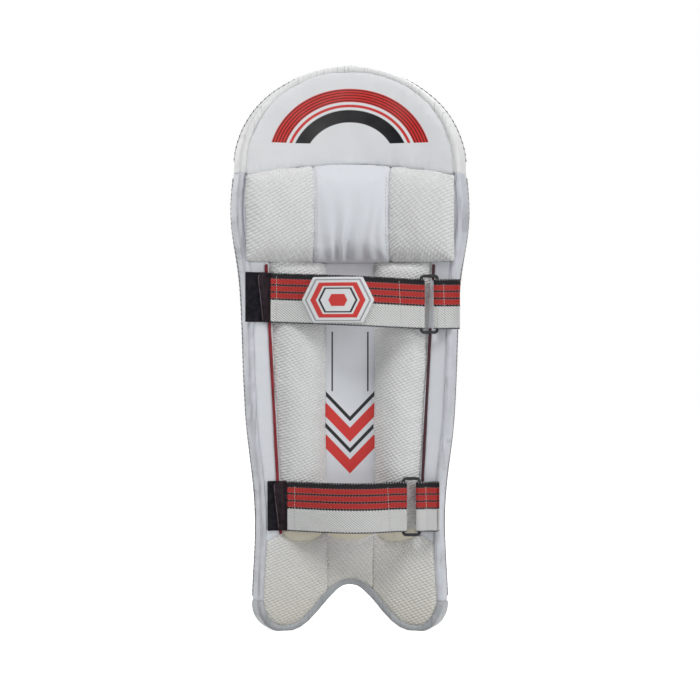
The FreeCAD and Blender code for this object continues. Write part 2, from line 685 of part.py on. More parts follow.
def knee_bolster():
    """Three sewn parts of the cushion that rests on the knee."""
    low_z = KNEE_BOLSTER_BOTTOM_Z
    front = INNER_LAYER - CUP_THICKNESS - GAP
    rim = edge_x(low_z)
    left_seam, right_seam = KNEE_BOLSTER_SEAMS_X
    crown = front - KNEE_BOLSTER_BULGE
    shallow = front - KNEE_BOLSTER_EDGE

    def part(name, x0, x1, deep0, deep1):
        bottom = level(x0, x1, lambda x: low_z)
        top = level(x0, x1, knee_bolster_top)

        def depth(s, t):
            rounded = (1 - (1 - deep0) * (1 - s) ** 3) * (1 - (1 - deep1) * s ** 3)
            return shallow + (crown - shallow) * crest(t, 0.45) * rounded

        cell(name, bottom, top, upright(bottom(0), top(0)), upright(bottom(1), top(1)), depth, flat(front),
             rows=SHORT, columns=SHORT, spread=KNEE_BOLSTER_SPREAD_RATIO)

    part("knee_bolster_right", -rim, left_seam - GAP / 2, 0.15, 0.9)
    part("knee_bolster_middle", left_seam + GAP / 2, right_seam - GAP / 2, 0.9, 0.9)
    part("knee_bolster_left", right_seam + GAP / 2, rim, 0.9, 0.15)
    # thin lining beside the cup carries the cushion's ends
    for side, sign in (("left", 1), ("right", -1)):
        x_in = sign * (CUP_HALF_WIDTH + GAP)
        bottom = level(x_in, sign * rim, lambda x: low_z)
        top = level(x_in, sign * edge_x(ROLL_SEAMS[3][1]), knee_bolster_top)
        inner = upright(bottom(0), top(0))
        edge = edge_side(sign, low_z, top(1)[1])
        sides = (inner, edge)
        if sign < 0:
            bottom, top = backwards(bottom), backwards(top)
            sides = sides[::-1]
        cell("knee_lining_" + side, bottom, top, sides[0], sides[1], flat(INNER_LAYER - CUP_THICKNESS),
             flat(INNER_LAYER), rows=SHORT)


def top_lining():
    """Smooth padded face behind the top hat."""
    rim = edge_x(knee_bolster_top(edge_x(KNEE_BOLSTER_TOP_Z[1])))
    bottom = level(-rim, rim, lambda x: knee_bolster_top(x) + GAP)
    split = HAT_CORNER_ANGLE

    def depth(s, t):
        return EDGE_BACK - TOP_LINING_BULGE * crest(s, 0.3) * crest(t, 0.3)

    cell("top_hat_lining", bottom, lambda s: arch(split * (2 * s - 1)),
         hat_rim(-1, bottom(0)[1], -split), hat_rim(1, bottom(1)[1], split),
         depth, flat(INNER_LAYER), columns=steps(14), rows=steps(14))


# ---- binding ----------------------------------------------------------------------------------------------
def bind(name, inner, outer, stations, front, back):
    """Binding that wraps the pad's edge between two lines of (x, z) points."""

    def rounded(edge, bulge):
        return lambda s, t: edge + bulge * crest(t, 0.6)

    cell(name, inner, outer, upright(inner(0), outer(0)), upright(inner(1), outer(1)),
         rounded(back, -BINDING_BULGE), rounded(front, BINDING_BULGE),
         columns=stations, rows=(0.0, 0.2, 0.5, 0.8, 1.0))


def bindings():
    for side, sign in (("left", 1), ("right", -1)):
        inner = edge_side(sign, FOOT_CORNER_Z + GAP, HAT_FLEX_Z - GAP, BINDING_WIDTH)
        outer = edge_side(sign, FOOT_CORNER_Z + GAP, HAT_FLEX_Z - GAP, 0.0)
        bind("side_binding_" + side, inner, outer, steps(24), EDGE_FRONT, EDGE_BACK)

    def around(inset):
        halves = hat_rim(-1, HAT_FLEX_Z, 0, inset), hat_rim(1, HAT_FLEX_Z, 0, inset)
        return lambda s: halves[0](2 * s) if s <= 0.5 else halves[1](2 - 2 * s)

    bind("top_binding", around(BINDING_WIDTH), around(0.0), steps(48), EDGE_FRONT, EDGE_BACK)
    foot_binding()


def foot_binding():
    """Binding under the lobes and the instep arch; it carries the standing pad."""
    step = 0.01

    def off_edge(s, distance):
        here = foot_line(s)
        if s in (0, 1):
            return here[0] + math.copysign(distance, here[0]), here[1]
        back, ahead = foot_line(max(s - step, 0.0)), foot_line(min(s + step, 1.0))
        run, rise = ahead[0] - back[0], ahead[1] - back[1]
        length = math.hypot(run, rise)
        return here[0] + distance * rise / length, here[1] - distance * run / length

    def inner(s):
        return off_edge(s, GAP)

    def outer(s):
        return off_edge(s, EDGE_INSET + FOOT_PRESS * crest(s, 0.4))

    def thick(edge, foot):
        return lambda s, t: edge + (foot - edge) * crest(s, 0.4)

    binding = cell("foot_binding", inner, outer, upright(inner(0), outer(0)), upright(inner(1), outer(1)),
                   thick(EDGE_BACK, FOOT_BACK), thick(EDGE_FRONT, FOOT_FRONT), columns=steps(96),
                   rows=(0.0, 0.35, 0.65, 1.0))
    reach = 2 * BEND_RADIUS
    floor = Part.makeBox(2 * reach, 2 * reach, reach, Vector(-reach, -reach, -reach))
    PARTS["foot_binding"] = [outward(binding.cut(floor).Solids[0])]


# ---- straps -----------------------------------------------------------------------------------------------
def smooth(points):
    """Smooth plan curve through (x, y) points."""
    curve = Part.BSplineCurve()
    curve.interpolate([Vector(x, y, 0) for x, y in points])
    return curve


def parameter_at(spine, x):
    """Where a spine that runs steadily across the pad passes x."""
    low, high = spine.FirstParameter, spine.LastParameter
    rising = spine.value(high).x > spine.value(low).x
    for _ in range(50):
        middle = (low + high) / 2
        if (spine.value(middle).x < x) == rising:
            low = middle
        else:
            high = middle
    return middle


def ribbon(spine, span, thickness, low_z, width, shift=0.0):
    """Upright band of even thickness along part of a plan spine, shifted sideways to its left."""
    count = 24
    rims = ([], [])
    for k in range(count + 1):
        at = span[0] + (span[1] - span[0]) * k / count
        middle = spine.value(at)
        tangent = spine.tangent(at)[0]
        normal = Vector(-tangent.y, tangent.x, 0)
        rims[0].append(middle + normal * (shift + thickness / 2))
        rims[1].append(middle + normal * (shift - thickness / 2))
    edges = []
    for rim in rims:
        curve = Part.BSplineCurve()
        curve.interpolate(rim)
        edges.append(curve.toShape())
    edges.append(Part.makeLine(rims[0][0], rims[1][0]))
    edges.append(Part.makeLine(rims[0][-1], rims[1][-1]))
    face = Part.Face(Part.Wire(Part.__sortEdges__(edges)))
    face.translate(Vector(0, 0, low_z))
    return outward(face.extrude(Vector(0, 0, width)))


def lining_point(x, lift):
    """Plan point that lies this far behind the wing lining, at x in space."""
    reach = BEND_RADIUS + LINING_DEPTH - lift
    angle = math.asin(x / reach)
    return x, BEND_CENTRE_Y - reach * math.cos(angle)


def fold(bar, toward, low_z):
    """Webbing's end folded round a bar: a half ring, and a tail that comes back to the main layer."""
    inner = RING_WIRE_RADIUS + RING_CLEARANCE
    outer = inner + WEB_THICKNESS
    foot = Vector(bar[0], bar[1], low_z)
    sleeve = Part.makeCylinder(outer, WEB_WIDTH, foot).cut(Part.makeCylinder(inner, WEB_WIDTH, foot))
    block = Part.makeBox(outer * 2, outer * 4, WEB_WIDTH, Vector(0, -outer * 2, 0))
    if toward > 0:
        block.translate(foot)
    else:
        block.translate(foot - Vector(outer * 2, 0, 0))
    half = sleeve.cut(block)
    rise = 2 * inner - GAP
    tail = [
        (bar[0], bar[1] - inner),
        (bar[0] + toward * inner, bar[1] - inner),
        (bar[0] + toward * FOLD_LENGTH, bar[1] - inner + rise),
        (bar[0] + toward * FOLD_LENGTH, bar[1] - outer + rise),
        (bar[0] + toward * inner, bar[1] - outer),
        (bar[0], bar[1] - outer),
    ]
    corners = [Vector(x, y, low_z) for x, y in tail]
    tongue = Part.Face(Part.makePolygon(corners + corners[:1])).extrude(Vector(0, 0, WEB_WIDTH))
    return half.fuse(outward(tongue))


def ring(name, bar_x, y, z):
    """Flat wire ring with two upright bars and rounded corners."""
    half_height = WEB_WIDTH / 2 + RING_OVERHANG - RING_WIRE_RADIUS
    bend = RING_OVERHANG - RING_WIRE_RADIUS - RING_CLEARANCE
    low, high = z - half_height, z + half_height
    left, right = bar_x - RING_SPACING, bar_x
    kink = bend * (1 - math.sqrt(0.5))

    def at(x, height):
        return Vector(x, y, height)

    edges = [
        Part.makeLine(at(right, low + bend), at(right, high - bend)),
        Part.Arc(at(right, high - bend), at(right - kink, high - kink), at(right - bend, high)).toShape(),
        Part.makeLine(at(right - bend, high), at(left + bend, high)),
        Part.Arc(at(left + bend, high), at(left + kink, high - kink), at(left, high - bend)).toShape(),
        Part.makeLine(at(left, high - bend), at(left, low + bend)),
        Part.Arc(at(left, low + bend), at(left + kink, low + kink), at(left + bend, low)).toShape(),
        Part.makeLine(at(left + bend, low), at(right - bend, low)),
        Part.Arc(at(right - bend, low), at(right - kink, low + kink), at(right, low + bend)).toShape(),
    ]
    path = Part.Wire(edges)
    section = Part.Wire(Part.makeCircle(RING_WIRE_RADIUS, at(right, low + bend), Vector(0, 0, 1)))
    keep(name, outward(path.makePipeShell([section], True, False)))


def sheared(shape, slope, from_x):
    """Raises a band steadily towards +X, from a level line at from_x."""
    tilt = FreeCAD.Matrix()
    tilt.A31 = slope
    tilt.A34 = -slope * from_x
    return shape.transformGeometry(tilt)


def strap_spine(size):
    """Middle line of a strap's webbing: off the bar, bowed back, over the bolster, down to the wing."""
    bar_x = size["bar_x"]
    y = bar_y(size) + BAR_CLEAR
    crown = place(size["crown_x"], LINING_DEPTH - INNER_BOLSTER_BULGE - STRAP_LIFT, 0)
    seat = GAP + PATCH_THICKNESS + TAB_REST + TAB_THICKNESS + GAP + WEB_THICKNESS / 2
    return smooth([
        (bar_x, y),
        (bar_x + 2 * BAR_CLEAR, y + BAR_CLEAR / 4),
        (bar_x / 2, y + size["bow"] * 0.75),
        (0.0, y + size["bow"]),
        (crown.x, crown.y),
        lining_point(size["land_x"], seat),
        lining_point(size["tab_x"][1] + PATCH_THICKNESS, seat),
    ])


def anchor_spine(size):
    """Middle line of an anchor tab: off the ring's outer bar and down to the wing's edge."""
    bar_x = size["bar_x"] - RING_SPACING
    y = bar_y(size) + BAR_CLEAR
    seat = WEB_THICKNESS / 2 + GAP
    return smooth([
        (bar_x, y),
        (bar_x - BAR_CLEAR, y - BAR_CLEAR / 6),
        lining_point((bar_x + size["anchor_x"]) / 2 - BAR_CLEAR, seat + BAR_CLEAR / 2),
        lining_point(size["anchor_x"], seat),
    ])


def strap(which):
    size = STRAPS[which]
    y = bar_y(size)
    low_z = size["z"] - WEB_WIDTH / 2
    bar = (size["bar_x"], y)
    far_bar = (size["bar_x"] - RING_SPACING, y)
    ring(which + "_ring", size["bar_x"], y, size["z"])

    line = anchor_spine(size)
    tab = ribbon(line, (line.FirstParameter, line.LastParameter), WEB_THICKNESS, low_z, WEB_WIDTH)
    keep(which + "_anchor_tab", tab.fuse(fold(far_bar, -1, low_z)).removeSplitter())

    line = strap_spine(size)
    slope = size["rise"] / (size["tab_x"][1] - bar[0])
    web_end = parameter_at(line, size["web_end_x"])
    webbing = ribbon(line, (line.FirstParameter, web_end), WEB_THICKNESS, low_z, WEB_WIDTH)
    webbing = webbing.fuse(fold(bar, 1, low_z)).removeSplitter()
    keep(which + "_webbing", sheared(webbing, slope, bar[0]))

    under = -(WEB_THICKNESS + TAB_THICKNESS) / 2 - GAP
    span = [parameter_at(line, x) for x in size["tab_x"]]
    hook = ribbon(line, span, TAB_THICKNESS, low_z, WEB_WIDTH, under)
    keep(which + "_hook_tab", sheared(hook, slope, bar[0]))

    inner_x, outer_x = size["patch_x"]
    across = [inner_x + (outer_x - inner_x) * share for share in steps(4)]
    seam = smooth([lining_point(x, GAP + PATCH_THICKNESS / 2) for x in across])
    span = (seam.FirstParameter, seam.LastParameter)
    patch = ribbon(seam, span, PATCH_THICKNESS, low_z + size["rise"], WEB_WIDTH)
    keep(which + "_loop_patch", patch)
    if size["badge"]:
        strap_badge(size, line, slope)


def strap_badge(size, line, slope):
    """Six-sided raised badge on the rear of the upper strap."""
    half = STRAP_BADGE_WIDTH / 2
    shift = (WEB_THICKNESS + BADGE_PLATE_THICKNESS) / 2 + GAP
    middle_z = size["z"] + slope * (STRAP_BADGE_X - size["bar_x"])
    reach = STRAP_BADGE_WIDTH
    span = [parameter_at(line, STRAP_BADGE_X + side * half * BADGE_BLANK) for side in (-1, 1)]
    rise = STRAP_BADGE_HEIGHT / 2
    cut = rise / 2
    plate = ribbon(line, span, BADGE_PLATE_THICKNESS, middle_z - rise, STRAP_BADGE_HEIGHT, shift)
    outline = [(-half, 0), (cut - half, rise), (half - cut, rise)]
    outline += [(-x, -z) for x, z in outline]
    corners = [Vector(STRAP_BADGE_X + x, -reach, middle_z + z) for x, z in outline]
    prism = Part.Face(Part.makePolygon(corners + corners[:1])).extrude(Vector(0, 2 * reach, 0))
    keep("strap_badge", plate.common(prism).Solids[0])


# ---- build ------------------------------------------------------------------------------------------------
def recentre():
    """Moves the whole pad so that the middle of its box stands over the origin."""
    boxes = [solid.BoundBox for solids in PARTS.values() for solid in solids]
    middle_x = (min(box.XMin for box in boxes) + max(box.XMax for box in boxes)) / 2
    middle_y = (min(box.YMin for box in boxes) + max(box.YMax for box in boxes)) / 2
    for solids in PARTS.values():
        for solid in solids:
            solid.translate(Vector(-middle_x, -middle_y, 0))
    print("moved by %.4f, %.4f" % (-middle_x, -middle_y))
    for which, size in STRAPS.items():
        print("%s ring: bars at x %.3f and %.3f, y %.3f, z %.3f" % (
            which, size["bar_x"] - middle_x, size["bar_x"] - RING_SPACING - middle_x,
            bar_y(size) - middle_y, size["z"]))
    rear = max(box.YMax for box in (solid.BoundBox for solid in PARTS["top_binding"]))
    for face in PARTS["foot_binding"][0].Faces:
        if face.BoundBox.ZMax < GAP:
            middle = face.CenterOfMass
            print("foot rests on %.3f, %.3f over %.1f mm2" % (middle.x, middle.y, face.Area))
    print("top hat flexes on y %.3f, z %.3f" % (rear, HAT_FLEX_Z))


def build():
    shin_front()
    knee_rolls()
    top_hat_front()
    core()
    knee_cup()
    inner_face()
    instep_lining()
    knee_bolster()
    top_lining()
    bindings()
    for which in STRAPS:
        strap(which)
    recentre()


build()
os.makedirs("parts", exist_ok=True)
for node, solids in PARTS.items():
    shape = solids[0] if len(solids) == 1 else Part.makeCompound(solids)
    shape.exportStep("parts/%s.step" % node)
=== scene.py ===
"""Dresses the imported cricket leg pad: padded leather and mesh, prints, stitching, straps and a plain studio.

Metres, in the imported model's frame: +Z up, +X to the wearer's left, +Y to the wearer's back.
A place on the bent pad is also given by u (the length along the bend), z, and depth ahead of the core sheet.
"""
import bpy
import bmesh
import math
import numpy as np
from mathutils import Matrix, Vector, noise
from mathutils.bvhtree import BVHTree
from mathutils.kdtree import KDTree


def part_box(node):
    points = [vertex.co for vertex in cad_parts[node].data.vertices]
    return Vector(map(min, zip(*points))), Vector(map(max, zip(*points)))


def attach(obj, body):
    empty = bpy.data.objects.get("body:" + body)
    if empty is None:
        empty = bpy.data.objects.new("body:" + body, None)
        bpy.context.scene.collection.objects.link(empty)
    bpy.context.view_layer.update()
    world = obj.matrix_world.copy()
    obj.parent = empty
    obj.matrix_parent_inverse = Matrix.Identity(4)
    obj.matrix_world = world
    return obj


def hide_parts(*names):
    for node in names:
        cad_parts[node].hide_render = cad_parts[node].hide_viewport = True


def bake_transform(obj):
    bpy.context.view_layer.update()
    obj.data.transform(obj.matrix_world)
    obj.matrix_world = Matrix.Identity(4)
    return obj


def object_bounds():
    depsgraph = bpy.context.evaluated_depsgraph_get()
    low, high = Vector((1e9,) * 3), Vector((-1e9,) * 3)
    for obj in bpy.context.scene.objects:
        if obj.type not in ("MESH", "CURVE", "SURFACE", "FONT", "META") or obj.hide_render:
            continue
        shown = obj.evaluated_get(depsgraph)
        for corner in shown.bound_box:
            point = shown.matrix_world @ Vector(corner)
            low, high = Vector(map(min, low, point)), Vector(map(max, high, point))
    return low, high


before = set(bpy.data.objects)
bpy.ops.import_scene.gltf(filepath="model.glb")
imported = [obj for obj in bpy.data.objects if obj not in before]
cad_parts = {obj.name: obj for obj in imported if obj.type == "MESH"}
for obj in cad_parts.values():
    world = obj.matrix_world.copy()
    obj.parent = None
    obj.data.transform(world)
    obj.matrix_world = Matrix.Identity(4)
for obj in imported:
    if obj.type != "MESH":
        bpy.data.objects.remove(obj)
cad_low, cad_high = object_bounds()

# ---- measures in metres, and shares ----
BEND_RADIUS = 0.280
BEND_CENTRE_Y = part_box("core_shin")[0].y + BEND_RADIUS
SIDES = (("left", 1), ("right", -1))
REAR = -1  # side of a piece that faces the leg
SIGHT = 0.15  # dressed pieces are looked at from this far off the core sheet

PIPING_VOXEL = 0.0008
COARSE_VOXEL = 0.003  # pieces meshed with these voxels or larger ones are subdivided
LAID_BACK = 0.8  # share of the way back to the CAD surface after the even meshing
SEAM_CLOSING = 0.0012  # covers swell by this much, so that neighbours meet at their seam
PIPING_CLOSING = 0.0003
RIM_FACING = 0.55  # a face that looks forward or back by less than this is a sewn side
WALL_TURN = 0.85  # one of a binding that looks along the sheet by more than this is its edge

CLOTH_PRESSURE = 4.0
CLOTH_GROWTH = 0.02
CLOTH_FRAMES = 20
CLOTH_HELD = 0.012  # the swelling fades out over this distance from a sewn side
PUCKER = 0.0009  # height of the puckers beside a seam
PUCKER_START = 0.003  # they begin over this distance from the seam
PUCKER_REACH = 0.009  # and die out over this one
UNEVEN = 0.0005  # slow unevenness of every cover
KNEE_DOME = 0.004  # extra rounding of the knee bolster
GATHER_PITCH = 0.0175
GATHER_DEPTH = 0.0062
GATHERED = 0.70  # share of the knee bolster's height that is gathered, from below

FOOT_ARCH_HALF = 0.080  # the instep arch's curve runs from its crown to here
FOOT_ARCH_STEP = 0.002
FOOT_ARCH_FADE = 0.045  # the covers follow that curve up to this height over it
END_SEAM_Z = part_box("inner_bolster_left")[0].z
END_SLICE = 0.004  # the bolster's width is measured over this height
END_ROUND = 0.010  # the inner bolsters' lower ends are this much higher at their sides
END_POWER = 2.5
END_SPREAD = 0.012  # beyond a bolster's outer side that lift dies out over this width
END_FADE = 0.025  # and above and below the lower end over this height
CUFF_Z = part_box("lower_webbing")[0].z + 0.003  # the inner bolsters have smooth cuffs below this
PIPING_TUCK = 0.005  # length of piping that goes on under a strap
PIPING_BREAK = 0.010  # a longer gap than this in the piping is a strap

CORD_LINE = 0.0058  # from the outline to the dark line beside the foot's lining
CURVE_RISE = 0.130  # height of the top hat's edge over the foot of its curve
CORD_END, CORD_TURN, CORD_NEAR = 88.0, 2.0, 1.2  # degrees round the top hat's curve
CORD_STEP = 0.0009
SMOOTHED = 7  # places of a rim that are averaged for its cord
SHARP_ANGLE = 0.9
THREAD_SIDES = 6
THREAD_LIFT = 0.0002

# ---- light ----
WORLD_LIGHT = 0.24
KEY_WATTS = 48.0
KEY_PLACE = (0.9, 1.7, 3.2)  # behind the pad; the lamps in front of it are turned by half a turn
FILL_WATTS = {1: 17.0, -1: 10.0}  # behind the pad, in front of it
FILL_PLACE = (-1.8, 1.4, 0.9)
LAMP_SIZE = 1.2
LAMP_AIM_Z = 0.38
FLOOR_LIFT = 0.87
FLOOR_GREY = (0.60, 0.60, 0.60, 1)
FLOOR_REACH = 8.0
LENS = 85.0
SENSOR = 36.0
FIELD_WIDE = 0.882  # width that the camera sees at the pad's middle
CAMERA_DROP = 0.003

# ---- colours, as linear values ----
WHITE = (0.84, 0.86, 0.88, 1)
CREAM = (0.84, 0.80, 0.70, 1)
CUFF_CREAM = (0.88, 0.83, 0.68, 1)
SATIN_WHITE = (0.80, 0.83, 0.88, 1)
MESH_WHITE = (0.90, 0.91, 0.91, 1)
SILVER = (0.40, 0.42, 0.44, 1)
SLATE = (0.12, 0.13, 0.15, 1)
BLACK = (0.010, 0.010, 0.013, 1)
BROWN_BLACK = (0.060, 0.042, 0.050, 1)
RED = (0.68, 0.045, 0.040, 1)
LAVENDER = (0.60, 0.62, 0.67, 1)
WEB_WHITE = (0.94, 0.95, 0.94, 1)
DARK_RED = (0.32, 0.015, 0.025, 1)
THREAD = (0.72, 0.72, 0.71, 1)
WORN_LEATHER = (0.70, 0.69, 0.66, 1)
WORN_PRINT = (0.70, 0.69, 0.67, 1)
WORN_MESH = (0.76, 0.75, 0.72, 1)
WORN_SATIN = (0.66, 0.68, 0.73, 1)
# colour of the painted shade that darkens the covers beside their seams
SEAM_SHADE = (0.45, 0.44, 0.42, 1)
# colour of the painted shade in the knitted mesh's holes
MESH_HOLE_SHADE = (0.46, 0.47, 0.47, 1)
# colour of the painted shade between the twill's ribs
TWILL_SHADE = (0.12, 0.10, 0.10, 1)
BADGE_RIM = (0.35, 0.36, 0.38, 1)

# ---- prints ----
# low, high and ink: heights for the chevrons and webbing, shares of the way out for arches and badges
CHEVRONS = ((0.196, 0.214, RED), (0.222, 0.228, BLACK), (0.236, 0.254, RED), (0.262, 0.268, BLACK))
LINES_ACROSS = (0.0225, 0.0245)  # the centre panel's upright lines, from its middle
LINES_HIGH = (0.30, 0.375)
ARCH_WIDE, ARCH_TALL = 0.128, 0.112  # half axes of the top hat's printed arches
ARCH_FOOT_Z = 0.585
PRINT_Z = (0.6115, 0.6120)  # the print begins here
ARCH_BANDS = ((0.48, 0.62, BLACK), (0.65, 0.68, RED), (0.71, 0.86, RED))  # pinstripes in the last
PIN_PITCH, PIN_SHARE = 0.030, 0.30
WEB_BANDS = (
    (-0.010, 0.0014, SLATE),
    (0.0282, 0.0304, BLACK),
    (0.0304, 0.0370, RED),
    (0.0370, 0.0392, BLACK),
    (0.0392, 0.0458, RED),
    (0.0458, 0.0480, BLACK),
    (0.0480, 0.0546, RED),
    (0.0546, 0.0800, BLACK),
)
WEB_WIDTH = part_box("upper_anchor_tab")[1].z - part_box("upper_anchor_tab")[0].z
HEXAGON_RINGS = ((0.86, 0.91, BADGE_RIM), (0.60, 0.76, RED), (0.48, 0.54, BLACK), (-0.1, 0.26, RED))
SHIELD_RINGS = ((0.78, 0.86, WHITE), (0.28, 0.38, WHITE))
SHIELD_TAPER = 0.20  # share of its width that the shield badge loses down to its foot
SHIELD_ARC = 0.11  # share of its half height that the shield's foot curves up at the sides

# ---- straps' details ----
TAB_HIDDEN = 0.36  # share of a hook tab that lies under the webbing
TAB_SLANT = 0.007  # its free end leans by this much, and so does its round corner
TAB_CORNER = 0.86  # the corner begins at this share of its height
TAB_EDGE_IN = 0.0016
SEWN_AT = {"upper": ((0.0915, 0.0), (-0.0620, 0.004)), "lower": ((0.0690, 0.0), (-0.0480, 0.004))}  # x, lean
ANCHOR_SEWN_AT = {"upper": (-0.1170, 0.002), "lower": (-0.0950, 0.002)}


# ---- meshes ----
def place(u, depth, z):
    """Point of the bent pad."""
    angle = u / BEND_RADIUS
    reach = BEND_RADIUS + depth
    return Vector((reach * math.sin(angle), BEND_CENTRE_Y - reach * math.cos(angle), z))


def pad_coordinates(points):
    """u, z and depth of points, as columns."""
    ahead = BEND_CENTRE_Y - points[:, 1]
    angle = np.arctan2(points[:, 0], ahead)
    return np.column_stack([BEND_RADIUS * angle, points[:, 2], np.hypot(points[:, 0], ahead) - BEND_RADIUS])


def outward(points):
    """Unit vectors that point away from the bend's axis, to the pad's front."""
    away = np.column_stack([points[:, 0], points[:, 1] - BEND_CENTRE_Y, np.zeros(len(points))])
    return away / np.linalg.norm(away, axis=1)[:, None]


def triples(collection, field):
    flat = np.empty(len(collection) * 3, np.float32)
    collection.foreach_get(field, flat)
    return flat.reshape(-1, 3).astype(float)


def points_of(mesh):
    return triples(mesh.vertices, "co")


def normals_of(mesh):
    return triples(mesh.vertex_normals, "vector")


def set_points(mesh, points):
    mesh.vertices.foreach_set("co", points.astype(np.float32).ravel())
    mesh.update()


def cad(node):
    """Mesh of a CAD node."""
    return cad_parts[node].data


def link(name, data):
    obj = bpy.data.objects.new(name, data)
    bpy.context.scene.collection.objects.link(obj)
    return obj


def applied(obj):
    """The object's mesh with its modifiers applied; the object is removed."""
    graph = bpy.context.evaluated_depsgraph_get()
    mesh = bpy.data.meshes.new_from_object(obj.evaluated_get(graph))
    bpy.data.objects.remove(obj)
    return mesh


def tree_of(mesh):
    return BVHTree.FromPolygons([v.co for v in mesh.vertices], [p.vertices for p in mesh.polygons])


def sheet_tree(places):
    """Search tree over places (u, z) on the sheet of the bend."""
    tree = KDTree(len(places))
    for k, (u, z) in enumerate(places):
        tree.insert((u, z, 0.0), k)
    tree.balance()
    return tree


def keep(mesh, name, values):
    """Keeps a value per vertex for the shader."""
    kept = mesh.attributes.new(name, "FLOAT", "POINT")
    kept.data.foreach_set("value", values.astype(np.float32))


def dress(mesh, material):
    mesh.materials.clear()
    mesh.materials.append(material)


def even(node, voxel):
    """Evenly meshed copy of a CAD node, laid back onto its surface."""
    source = cad(node)
    obj = link("work", source.copy())
    remesh = obj.modifiers.new("even", "REMESH")
    remesh.mode = "VOXEL"
    remesh.voxel_size = voxel
    relax = obj.modifiers.new("relax", "SMOOTH")
    relax.iterations = 2
    mesh = applied(obj)
    surface = tree_of(source)
    points = points_of(mesh)
    for k, point in enumerate(points):
        spot = surface.find_nearest(Vector(point))[0]
        points[k] = point + (np.array(spot) - point) * LAID_BACK
    points += normals_of(mesh) * (SEAM_CLOSING if voxel > PIPING_VOXEL else PIPING_CLOSING)
    set_points(mesh, rounded(points))
    return mesh


def foot_edge():
    """Distances from the middle, the solids' lower edge there, and the round edge's height over it."""
    binding = tree_of(cad("foot_binding"))
    across = np.arange(0.0, FOOT_ARCH_HALF, FOOT_ARCH_STEP)
    edge = []
    for x in across:
        start = place(BEND_RADIUS * math.asin(x / BEND_RADIUS), 0.0, cad_low.z - 0.1)
        edge.append(binding.ray_cast(start, Vector((0, 0, 1)))[0].z)
    curve = edge[0] * (1 + np.cos(math.pi * across / FOOT_ARCH_HALF)) / 2
    return across, np.array(edge), curve - edge


def bolster_ends():
    """Distances of the inner bolster's two sides from the middle, at its lower end."""
    points = points_of(cad("inner_bolster_left"))
    across = np.abs(points[points[:, 2] < END_SEAM_Z + END_SLICE, 0])
    return across.min(), across.max()


def fading(share):
    """Eased step from 0 to 1."""
    share = np.clip(share, 0.0, 1.0)
    return share * share * (3 - 2 * share)


def rounded(points):
    """Slides points up or down, so that the instep arch and the inner bolsters' lower ends are round."""
    across = np.abs(points[:, 0])
    edge = np.interp(across, ARCH[0], ARCH[1])
    lift = np.interp(across, ARCH[0], ARCH[2], right=0.0)
    points[:, 2] += lift * fading(1 - (points[:, 2] - edge) / FOOT_ARCH_FADE)
    near, far = BOLSTER_ENDS
    middle, half = (near + far) / 2, (far - near) / 2
    share = np.where(across < near, across / near, np.abs(across - middle) / half)
    beyond = np.exp(-(((across - far) / END_SPREAD) ** 2))
    lift = END_ROUND * np.where(across > far, beyond, share ** END_POWER)
    lift[pad_coordinates(points)[:, 2] > 0] = 0.0
    points[:, 2] += lift * fading(1 - np.abs(points[:, 2] - END_SEAM_Z) / END_FADE)
    return points


ARCH = foot_edge()
BOLSTER_ENDS = bolster_ends()


def rim_of(mesh):
    """Distance of each vertex to the piece's sewn side, and whether that side lies above or below it."""
    points = points_of(mesh)
    sheet = pad_coordinates(points)
    facing = np.abs((normals_of(mesh) * outward(points)).sum(axis=1))
    tree = sheet_tree(sheet[facing < RIM_FACING, :2])
    distance = np.zeros(len(points))
    upright = np.zeros(len(points))
    for k in range(len(points)):
        spot, _, gap = tree.find((sheet[k, 0], sheet[k, 1], 0.0))
        distance[k] = gap
        upright[k] = abs(spot[1] - sheet[k, 1]) > abs(spot[0] - sheet[k, 0])
    return distance, upright


def swollen(mesh, cap):
    """Lets the cloth swell under its filling, no point by more than cap; its sewn sides hold."""
    before = points_of(mesh)
    distance, _ = rim_of(mesh)
    scene = bpy.context.scene
    obj = link("work", mesh)
    cloth = obj.modifiers.new("cloth", "CLOTH")
    cloth.settings.use_pressure = True
    cloth.settings.uniform_pressure_force = CLOTH_PRESSURE
    cloth.settings.shrink_min = -CLOTH_GROWTH
    cloth.settings.effector_weights.gravity = 0.0
    cloth.point_cache.frame_start = 1
    cloth.point_cache.frame_end = CLOTH_FRAMES
    for number in range(1, CLOTH_FRAMES + 1):
        scene.frame_set(number)
    result = applied(obj)
    scene.frame_set(1)
    move = points_of(result) - before
    length = np.linalg.norm(move, axis=1)
    move *= (np.minimum(length, cap) / np.maximum(length, 1e-9))[:, None]
    move *= np.clip(distance / CLOTH_HELD, 0.0, 1.0)[:, None]
    set_points(result, before + move)
    return result


def finer(mesh):
    obj = link("work", mesh)
    fine = obj.modifiers.new("fine", "SUBSURF")
    fine.levels = 1
    fine.render_levels = 1
    return applied(obj)


def field(u, z, wide, tall, seed):
    """Smooth noise from -1 to 1 with its own length each way."""
    return noise.noise(Vector((u / wide, z / tall, seed)))


def worked(mesh, relief):
    """Puckers the cloth beside its seams, adds the piece's relief and keeps its seams for the shader."""
    points = points_of(mesh)
    normals = normals_of(mesh)
    sheet = pad_coordinates(points)
    side = np.sign((normals * outward(points)).sum(axis=1))
    distance, upright = rim_of(mesh)
    shift = np.zeros(len(points))
    for k in range(len(points)):
        u, z = sheet[k, 0], sheet[k, 1]
        wide, tall = (0.006, 0.03) if upright[k] else (0.03, 0.008)
        fade = math.exp(-distance[k] / PUCKER_REACH) * min(distance[k] / PUCKER_START, 1.0)
        shift[k] = PUCKER * fade * field(u, z, wide, tall, 3.1 + side[k])
        shift[k] += UNEVEN * field(u, z, 0.030, 0.045, 7.7 + side[k])
        if relief:
            shift[k] += relief(u, z, side[k], distance[k])
    points += normals * shift[:, None]
    points[:, 2] = np.maximum(points[:, 2], cad_low.z)
    set_points(mesh, points)
    keep(mesh, "seam", distance)
    mesh.shade_smooth()
    return mesh


DRESSED = {}


